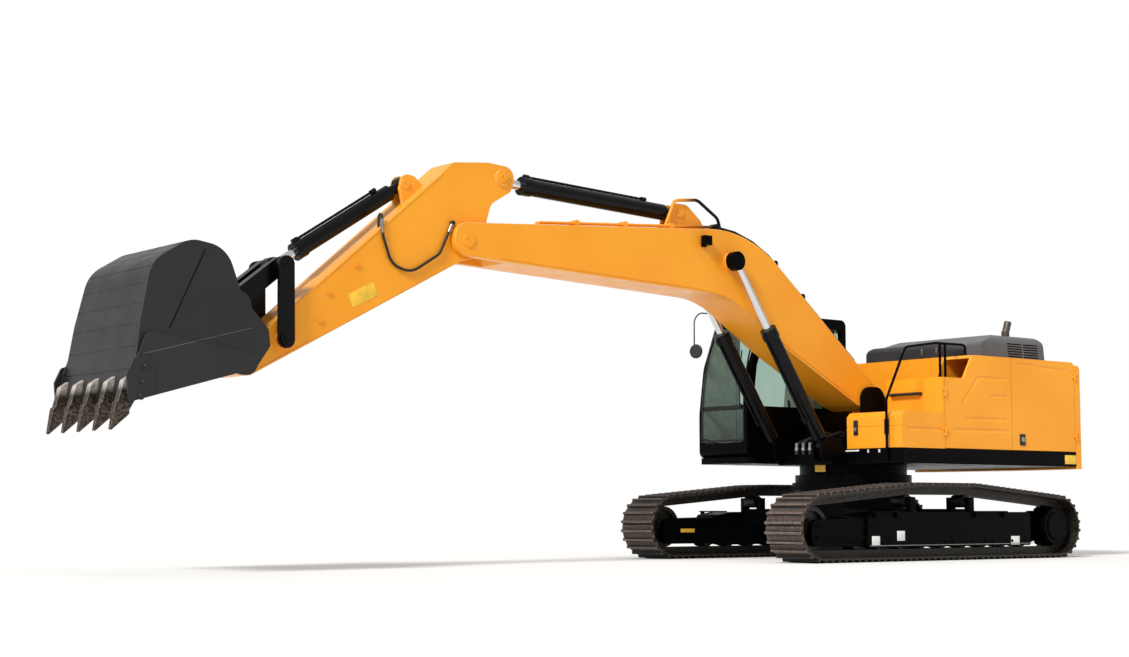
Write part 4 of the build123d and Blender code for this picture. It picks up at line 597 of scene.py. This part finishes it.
def paint_cab_lining():
    """Pale moulded lining on the faces that look into the cab, but not on the jambs of its windows."""
    low, high = (Vector(corner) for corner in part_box("cab_frame"))
    wall, plinth, skin, across = 0.058, 0.3, 0.02, 2.2
    for node in ("cab_frame", "cab_door"):
        data = NODES[node].data
        data.materials.append(finish("cab_lining"))
        for face in data.polygons:
            middle = face.center
            if node == "cab_door":
                face.material_index = int(face.normal.y > 0.7 and middle.y > low.y + skin)
                continue
            within = low.y + wall < middle.y < high.y - wall and low.z + plinth < middle.z < high.z - skin
            ahead = middle + face.normal * skin
            looks_in = any(NODES[name].ray_cast(ahead, face.normal, distance=across)[0]
                           for name in ("cab_frame", "cab_door", "cab_glass", "cab_door_glass"))
            face.material_index = int(within and looks_in)


def side_of(node, x, z, side=1):
    """Y of the first face of a node that is met from one side, at a place seen from that side."""
    hit, place, _, _ = NODES[node].ray_cast(at(x, side * 5, z), (0, -side, 0))
    if not hit:
        raise RuntimeError(f"{node} has no face at {x}, {z}")
    return place.y


class EXCAVATOR_OT_cad_finishes(bpy.types.Operator):
    """Gives every piece of the frame its finish"""

    bl_idname = "excavator.cad_finishes"
    bl_label = "Finish the Frame"

    def execute(self, context):
        for name, nodes in NODE_FINISHES.items():
            for node in nodes:
                data = NODES[node].data
                data.materials.clear()
                data.materials.append(finish(name))
                data.set_sharp_from_angle(angle=math.radians(30))
        for spot in FINISH_SPOTS:
            paint_spot(*spot)
        for node in ("left_track", "right_track"):
            paint_track_inside(node)
        paint_cab_lining()
        return {"FINISHED"}


class EXCAVATOR_OT_frame_hardware(bpy.types.Operator):
    """Bolts and blank plates of the undercarriage, and a bright strip along each frame's lower edge as a
    painted highlight
    """

    bl_idname = "excavator.frame_hardware"
    bl_label = "Undercarriage Hardware"

    def execute(self, context):
        settings = context.scene.excavator_hardware
        size, depth = settings.bolt_size * 0.7, settings.plate_thickness
        bolts = Piece("frame_bolts", "black_enamel")
        first_roller, roller_pitch = -1.65, 0.39125
        for side in (-1, 1):
            for k in range(9):
                for dx in (-0.06, 0.06):
                    x = first_roller + roller_pitch * k + dx
                    bolts.bolt(at(x, side * FRAME_SIDE_Y, 0.23), (0, side, 0), size)
        bolts.done("undercarriage")
        plates = Piece("frame_plates", "white_plate", "yellow_plate")
        for x0, x1, z0, z1 in ((0.74, 0.88, 0.25, 0.37), (1.19, 1.33, 0.2, 0.31), (-1.47, -1.3, 0.18, 0.29)):
            plates.box(at(x0, FRAME_SIDE_Y, z0), at(x1, FRAME_SIDE_Y + depth, z1), 1)
        far_yoke = side_of("right_track_frame", 1.9, 0.36)
        plates.box(at(1.78, far_yoke, 0.335), at(2.02, far_yoke + depth, 0.385), 1, 1)
        plates.done("undercarriage")
        # A thin bright steel strip along each frame's lower edge: a painted highlight where the flange edge
        # catches the light
        flange = Piece("frame_edge_highlights", "bright_steel")
        for side in (-1, 1):
            low, high = sorted((side * FRAME_SIDE_Y, side * (FRAME_SIDE_Y + 0.006)))
            flange.box(at(-1.77, low, 0.19), at(1.37, high, 0.198), 1)
        flange.done("undercarriage")
        return {"FINISHED"}


class EXCAVATOR_OT_weld_beads(bpy.types.Operator):
    """Weld beads along the seams of the boom and arm"""

    bl_idname = "excavator.weld_beads"
    bl_label = "Weld Beads"

    def execute(self, context):
        radius = context.scene.excavator_hardware.weld_width / 2
        boom = Piece("boom_welds", "yellow_enamel")
        boom_half, arm_half = 0.311, 0.216
        lower = [(0.35, 2.087), (1.5, 2.677), (2.0, 2.982), (2.51, 3.247), (3.0, 3.312), (6.0, 3.439)]
        for side in (-1, 1):
            boom.tube([at(x, side * boom_half, z) for x, z in lower], radius, 6, turn_mm=400)
        boom.done("boom")
        arm = Piece("arm_welds", "yellow_enamel")
        for side in (-1, 1):
            for seam in (((6.7, 3.29), (9.0, 2.072)), ((6.75, 4.33), (8.8, 2.575))):
                arm.tube([at(x, side * arm_half, z) for x, z in seam], radius, 6)
        arm.done("arm")
        return {"FINISHED"}


# Ends of the linkage pins: (piece, node that carries the cap, body, finish, slot, place, cap radius)
PIN_CAPS = [
    ("boom_tip_caps", "boom_body", "boom", "yellow_enamel", "yellow_paint", (6.45, 3.608), 0.085),
    ("arm_cylinder_caps", "boom_body", "boom", "yellow_enamel", "yellow_paint", (3.13, 4.25), 0.06),
    ("arm_rear_caps", "arm_body", "arm", "yellow_enamel", "yellow_paint", (5.93, 4.375), 0.06),
    ("bucket_cylinder_caps", "arm_body", "arm", "yellow_enamel", "yellow_paint", (7.16, 4.19), 0.06),
    ("guide_caps", "guide_links", "guide_links", "barrel_enamel", "black_paint", (8.754, 2.378), 0.045),
    ("link_caps", "guide_links", "guide_links", "barrel_enamel", "black_paint", (8.765, 3.155), 0.045),
    ("bucket_pin_caps", "bucket_shell", "bucket", "charcoal_enamel", "bucket_steel", (9.2, 2.14), 0.06),
]


class EXCAVATOR_OT_pin_caps(bpy.types.Operator):
    """Retaining caps with their bolts on the ends of the linkage pins"""

    bl_idname = "excavator.pin_caps"
    bl_label = "Pin Caps"

    def execute(self, context):
        size = context.scene.excavator_hardware.bolt_size * 0.6
        sunk, height, chamfer, first_bolt = 0.004, 0.011, 0.004, 0.6
        for name, node, body, material, slot_name, (x, z), radius in PIN_CAPS:
            caps = Piece(name, material)
            disc = [(0, radius), (height, radius), (height + chamfer, radius - chamfer)]
            for side in (-1, 1):
                y = side_of(node, x, z, side)
                caps.turned(at(x, y - side * sunk, z), (0, side, 0), disc, 28)
                for turn in (first_bolt, first_bolt + math.pi):
                    dx, dz = radius * 0.55 * math.cos(turn), radius * 0.55 * math.sin(turn)
                    caps.bolt(at(x + dx, y + side * height, z + dz), (0, side, 0), size)
            caps.done(body)
        return {"FINISHED"}


class EXCAVATOR_OT_bucket_details(bpy.types.Operator):
    """Weld seams of the bucket's side plates with a grey painted highlight on a crease, and the bolts of its
    side cutters
    """

    bl_idname = "excavator.bucket_details"
    bl_label = "Bucket Details"

    def execute(self, context):
        settings = context.scene.excavator_hardware
        beads = Piece("bucket_seams_and_crease_highlight", "black_enamel", "grey_enamel")
        radius = settings.weld_width / 2
        # The first line is a dark weld seam; the second, thinner and grey, is a painted highlight on the lit
        # edge of a crease
        seams = [((9.9, 3.17), (10.3, 2.37), radius), ((10.6, 2.1), (9.4, 2.42), radius * 0.7)]
        steps = 24
        for side in (-1, 1):
            for number, (start, end, thick) in enumerate(seams):
                line = []
                for k in range(steps + 1):
                    x, z = (a + (b - a) * k / steps for a, b in zip(start, end))
                    line.append(at(x, side_of("bucket_shell", x, z, side), z))
                beads.tube(line, thick, 6, number)
        beads.done("bucket")
        bolts = Piece("cutter_bolts", "charcoal_enamel")
        cutter_y = 0.834
        for side in (-1, 1):
            for x, z in ((10.58, 1.98), (10.6, 1.83), (10.62, 1.7)):
                bolts.bolt(at(x, side * cutter_y, z), (0, side, 0), settings.bolt_size * 1.4)
        bolts.done("bucket")
        return {"FINISHED"}


class EXCAVATOR_OT_upper_hardware(bpy.types.Operator):
    """Latches, handles, clips and blank plates of the upper body, and a white strip as a painted highlight on
    the deck's edge
    """

    bl_idname = "excavator.upper_hardware"
    bl_label = "Upper Body Hardware"

    def execute(self, context):
        depth = context.scene.excavator_hardware.plate_thickness
        latches = Piece("tool_box_latches", "black_rubber", "bright_steel")
        box_front, handle_z = 0.64, 2.11
        for y in (0.66, 1.18):
            latches.box(at(box_front, y - 0.035, 1.57), at(box_front + 0.015, y + 0.035, 1.76), 4)
            latches.box(at(box_front + 0.01, y - 0.02, 1.62), at(box_front + 0.032, y + 0.02, 1.67), 5, 1)
        grip = [(-0.13, 0.6), (-0.075, 0.6), (-0.075, 1.08), (-0.13, 1.08)]
        latches.tube([at(x, y, handle_z) for x, y in grip], 0.021, turn_mm=40)
        latches.done("upper")
        for body, x, side in (("left_rear_door", -1.71, 1), ("right_rear_door", -1.9, -1)):
            handle = Piece(body + "_latch", "black_rubber", "bright_steel")
            # A plate, and the paddle that stands on it
            for half, thick, low, high, round_mm, number in (
                    (0.055, 0.012, 1.47, 1.62, 6, 0), (0.03, 0.024, 1.52, 1.58, 5, 1)):
                y0, y1 = sorted((side * HOUSING_SIDE_Y, side * HOUSING_SIDE_Y + side * thick))
                handle.box(at(x - half, y0, low), at(x + half, y1, high), round_mm, number)
            handle.done(body)
        turntable = Piece("turntable_plate", "yellow_plate")
        ring_radius = 0.761
        turns = [turn / 100 for turn in range(6, 30, 3)]
        corners = []
        for radius in (ring_radius, ring_radius + depth):
            for z in (1.115, 1.2):
                corners.append([at(radius * math.cos(turn), radius * math.sin(turn), z) for turn in turns])
        turntable.rings([corners[0], corners[1], corners[3], corners[2]], closed=True, caps=False, loop=False)
        turntable.done("upper")
        marks_and_highlight = Piece("deck_marks_and_edge_highlight", "white_plate")
        deck_front, deck_top = 0.68, 1.385
        # The long thin white strip on the deck's top edge is a painted highlight on that edge; the two short
        # ones are small blank stickers
        for low, high, height in ((0.5, 0.74, 0.02), (0.885, 0.91, 0.04), (1.07, 1.1, 0.04)):
            marks_and_highlight.box(at(deck_front, low, deck_top - height), at(deck_front + depth, high, deck_top), 1)
        marks_and_highlight.done("upper")
        clips = Piece("cover_clips", "bright_steel")
        for y in (0.0, 0.35, 0.6):
            clips.box(at(-1.004, y - 0.012, 2.7), at(-0.99, y + 0.012, 2.78), 3)
        clips.done("upper")
        plate = Piece("tail_plate", "yellow_plate")
        plate.box(at(-2.84, HOUSING_SIDE_Y, 1.24), at(-2.6, HOUSING_SIDE_Y + depth, 1.36), 1)
        plate.done("upper")
        return {"FINISHED"}


class EXCAVATOR_OT_seat(bpy.types.Operator):
    """Operator's seat: a moulded base, and cushions under a pale cover"""

    bl_idname = "excavator.seat"
    bl_label = "Operator's Chair"

    def execute(self, context):
        low, high = (Vector(corner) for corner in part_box("operator_seat"))
        middle = (low.y + high.y) / 2
        base = Piece("chair_base", "dark_plastic")
        # The foot, the folds of the bellows and the pan: (rear, front, half width, bottom, top, rounding)
        slabs = [(0.08, 0.52, 0.22, 0, 0.06, 10)]
        slabs += [(0.12, 0.48, 0.18, 0.065 + k * 0.025, 0.083 + k * 0.025, 8) for k in range(7)]
        slabs += [(0.06, 0.55, 0.21, 0.235, 0.275, 8)]
        for rear, front, wide, bottom, top, round_mm in slabs:
            base.box(at(rear, middle - wide, low.z + bottom), at(front, middle + wide, low.z + top), round_mm)
        base.done("upper")
        lean = Matrix.Rotation(math.radians(-8), 3, "Y")
        for name, centre, half, turn in (
                ("chair_cushion", at(0.32, middle, 1.705), (0.275, 0.25, 0.062), None),
                ("chair_back", at(-0.02, middle, 2.11), (0.085, 0.24, 0.35), lean)):
            cushion = Piece(name, "cover_cloth")
            cushion.pillow(centre, half, lean=turn)
            made = cushion.done("upper", 80)
            made.modifiers.new("soft", "SUBSURF").render_levels = 1
            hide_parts("operator_seat")
        return {"FINISHED"}


class EXCAVATOR_OT_cab_trim(bpy.types.Operator):
    """Rubber seals, wiper, handle and lamps of the cab"""

    bl_idname = "excavator.cab_trim"
    bl_label = "Cab Trim"

    def execute(self, context):
        left, right, bead = -0.6, -1.39, 0.011
        front = [(1.16, 3.02), (1.29, 2.7), (1.36, 2.4), (1.405, 2.05), (1.412, 1.53)]
        seals = Piece("cab_seals", "black_rubber")
        for y in (left, right):
            seals.tube([at(x, y, z) for x, z in front], bead, 8, turn_mm=200)
        for x, z in (front[0], front[-1]):
            seals.tube([at(x, left, z), at(x, right, z)], bead, 8)
        seals.done("upper")
        wiper = Piece("wiper", "dark_plastic")
        wiper.tube([at(1.424, -0.66, 1.99), at(1.4, -0.7, 2.4)], 0.008, 8)
        lean = Matrix.Rotation(math.radians(-10), 4, "Y")
        wiper.box(at(1.352, -0.712, 2.32), at(1.368, -0.7, 2.72), 3, turn=lean)
        wiper.turned(at(1.405, -0.66, 1.98), (1, 0, 0.1), [(0, 0.03), (0.02, 0.028)], 20)
        wiper.done("upper")
        lamps = Piece("cab_lamps", "dark_plastic", "lamp_glass")
        for y in (-0.66, -1.33):
            lamps.box(at(1.02, y - 0.05, 3.165), at(1.1, y + 0.05, 3.197), 8)
        lamps.done("upper")
        handle = Piece("cab_handle", "dark_plastic")
        handle.box(at(0.6, -1.462, 1.72), at(0.74, -1.45, 1.8), 8)
        grip = [(0.62, -1.452), (0.63, -1.488), (0.71, -1.488), (0.72, -1.452)]
        handle.tube([at(x, y, 1.76) for x, y in grip], 0.008, 8)
        handle.done("cab_door")
        return {"FINISHED"}


class EXCAVATOR_OT_hose_fittings(bpy.types.Operator):
    """Plated fittings at the ends of the hoses"""

    bl_idname = "excavator.hose_fittings"
    bl_label = "Hose Fittings"

    def execute(self, context):
        foot = Piece("foot_fittings", "bright_steel")
        hoses, hose_pitch = 4, 0.12
        for k in range(hoses):
            y = (k - (hoses - 1) / 2) * hose_pitch
            for x in (0.86, 0.18):
                foot.turned(at(x, y, 1.392), (0, 0, 1), [(0, 0.034), (0.03, 0.034)], 6)
                foot.turned(at(x, y, 1.42), (0, 0, 1), [(0, 0.027), (0.07, 0.027)], 16)
        foot.done("upper")
        arm = Piece("arm_hose_fittings", "bright_steel")
        arm.turned(at(6.635, 0.242, 3.779), (0.427, 0, -0.904), [(0, 0.021), (0.11, 0.021)], 12)
        arm.turned(at(7.545, 0.242, 3.6), (0.083, 0, 0.997), [(0, 0.019), (0.15, 0.019)], 12)
        arm.done("arm")
        return {"FINISHED"}


# Middles of the lugs that stand on each side of the arm, from the swing centre
ARM_LUGS = ((7.855, 3.22), (8.2, 2.9), (8.3, 2.6))


class EXCAVATOR_OT_arm_plate(bpy.types.Operator):
    """Blank yellow plate and lugs on each side of the arm"""

    bl_idname = "excavator.arm_plate"
    bl_label = "Arm Plate"

    def execute(self, context):
        depth = context.scene.excavator_hardware.plate_thickness
        plate = Piece("arm_plates", "yellow_plate")
        lean = Matrix.Rotation(math.radians(26), 4, "Y")
        arm_side = 0.215
        half = Vector((0.175, depth / 2, 0.077))
        for side in (-1, 1):
            middle = at(7.77, side * (arm_side + depth / 2), 2.913)
            plate.box(middle - half, middle + half, 1, turn=lean)
        plate.done("arm")
        lugs = Piece("arm_lugs", "yellow_enamel")
        for x, z in ARM_LUGS:
            for side in (-1, 1):
                face = side_of("arm_body", x, z, side)
                y0, y1 = sorted((face, face + side * 0.022))
                lugs.box(at(x - 0.035, y0, z - 0.008), at(x + 0.035, y1, z + 0.008), 4, turn=lean)
        lugs.done("arm")
        return {"FINISHED"}


# Stage


WHITE = (1, 1, 1, 1)


def floor_material(colour):
    """Pale studio floor that fades into the white surroundings, as the camera sees it."""
    material = bpy.data.materials.new("studio_floor")
    material.use_nodes = True
    tree = material.node_tree
    tree.nodes.clear()
    diffuse = add(tree, "ShaderNodeBsdfDiffuse", {"Color": [*colour, 1]})
    white = add(tree, "ShaderNodeEmission", {"Color": WHITE, "Strength": 1.0})
    place = add(tree, "ShaderNodeTexCoord").outputs["Object"]
    away = add(tree, "ShaderNodeVectorMath", {0: place}, operation="LENGTH").outputs["Value"]
    share = add(tree, "ShaderNodeMapRange", {
        "Value": away, "From Min": 7.0, "From Max": 22.0}, interpolation_type="SMOOTHSTEP")
    seen = add(tree, "ShaderNodeLightPath").outputs["Is Camera Ray"]
    mixed = add(tree, "ShaderNodeMixShader", {
        0: product(tree, share.outputs["Result"], seen), 1: diffuse.outputs[0], 2: white.outputs[0]})
    add(tree, "ShaderNodeOutputMaterial", {"Surface": mixed.outputs[0]})
    return material


def surroundings(strength):
    """Even white light all round, and plain white behind the part, also through its glass."""
    world = bpy.data.worlds.new("surroundings")
    world.use_nodes = True
    tree = world.node_tree
    tree.nodes.clear()
    light = add(tree, "ShaderNodeBackground", {"Color": WHITE, "Strength": strength})
    white = add(tree, "ShaderNodeBackground", {"Color": WHITE, "Strength": 1.0})
    path = add(tree, "ShaderNodeLightPath").outputs
    seen = add(tree, "ShaderNodeMath", {0: path["Is Camera Ray"], 1: path["Is Transmission Ray"]},
               operation="MAXIMUM").outputs[0]
    mixed = add(tree, "ShaderNodeMixShader", {0: seen, 1: light.outputs[0], 2: white.outputs[0]})
    add(tree, "ShaderNodeOutputWorld", {"Surface": mixed.outputs[0]})
    return world


class EXCAVATOR_OT_stage(bpy.types.Operator):
    """Floor, surroundings, key light and camera"""

    bl_idname = "excavator.stage"
    bl_label = "Stage"

    def execute(self, context):
        settings = context.scene.excavator_stage
        scene = context.scene
        scene.view_settings.view_transform = "Standard"
        data = bpy.data.meshes.new("floor")
        reach = 90
        corners = [(-reach, -reach, 0), (reach, -reach, 0), (reach, reach, 0), (-reach, reach, 0)]
        data.from_pydata(corners, [], [(0, 1, 2, 3)])
        data.materials.append(floor_material(settings.floor))
        floor = bpy.data.objects.new("floor", data)
        scene.collection.objects.link(floor)
        scene.world = surroundings(settings.sky)
        sun = bpy.data.lights.new("key", "SUN")
        sun.energy = settings.sun
        sun.angle = math.radians(14)
        key = bpy.data.objects.new("key", sun)
        key.rotation_euler = Vector((1.0, 0.34, 0.8)).to_track_quat("Z", "Y").to_euler()
        scene.collection.objects.link(key)
        lens = bpy.data.cameras.new("camera")
        lens.lens = settings.lens
        lens.sensor_width = 36
        lens.clip_end = 300
        # Place, turn and upward pitch of the camera as fitted to the photo
        camera = bpy.data.objects.new("camera", lens)
        camera.location = (14.888, 17.452, 0.626)
        turn, pitch = 0.670, 0.0946
        level = math.cos(pitch)
        ahead = Vector((-math.sin(turn) * level, -math.cos(turn) * level, math.sin(pitch)))
        camera.rotation_euler = ahead.to_track_quat("-Z", "Y").to_euler()
        scene.collection.objects.link(camera)
        scene.camera = camera
        return {"FINISHED"}


# Sidebar and running order


class EXCAVATOR_PT_sidebar(bpy.types.Panel):
    bl_label = "Crawler Excavator"
    bl_idname = "EXCAVATOR_PT_sidebar"
    bl_space_type = "VIEW_3D"
    bl_region_type = "UI"
    bl_category = "Excavator"

    def draw(self, context):
        for group, kind in GROUPS.items():
            for name in kind.__annotations__:
                self.layout.prop(getattr(context.scene, group), name)
        for operator in OPERATORS:
            self.layout.operator(operator.bl_idname)


OPERATORS = [
    EXCAVATOR_OT_cad_finishes,
    EXCAVATOR_OT_frame_hardware,
    EXCAVATOR_OT_weld_beads,
    EXCAVATOR_OT_pin_caps,
    EXCAVATOR_OT_bucket_details,
    EXCAVATOR_OT_upper_hardware,
    EXCAVATOR_OT_seat,
    EXCAVATOR_OT_cab_trim,
    EXCAVATOR_OT_hose_fittings,
    EXCAVATOR_OT_arm_plate,
    EXCAVATOR_OT_stage,
]
GROUPS = {
    "excavator_hardware": EXCAVATOR_PG_hardware,
    "excavator_finishes": EXCAVATOR_PG_finishes,
    "excavator_stage": EXCAVATOR_PG_stage,
}
CLASSES = [*GROUPS.values(), *OPERATORS, EXCAVATOR_PT_sidebar]


def register():
    for cls in CLASSES:
        bpy.utils.register_class(cls)
    for name, group in GROUPS.items():
        setattr(bpy.types.Scene, name, bpy.props.PointerProperty(type=group))


def unregister():
    for name in reversed(GROUPS):
        delattr(bpy.types.Scene, name)
    for cls in reversed(CLASSES):
        bpy.utils.unregister_class(cls)


def main():
    register()
    for operator in OPERATORS:
        group, name = operator.bl_idname.split(".")
        getattr(getattr(bpy.ops, group), name)()


if __name__ == "__main__":
    main()
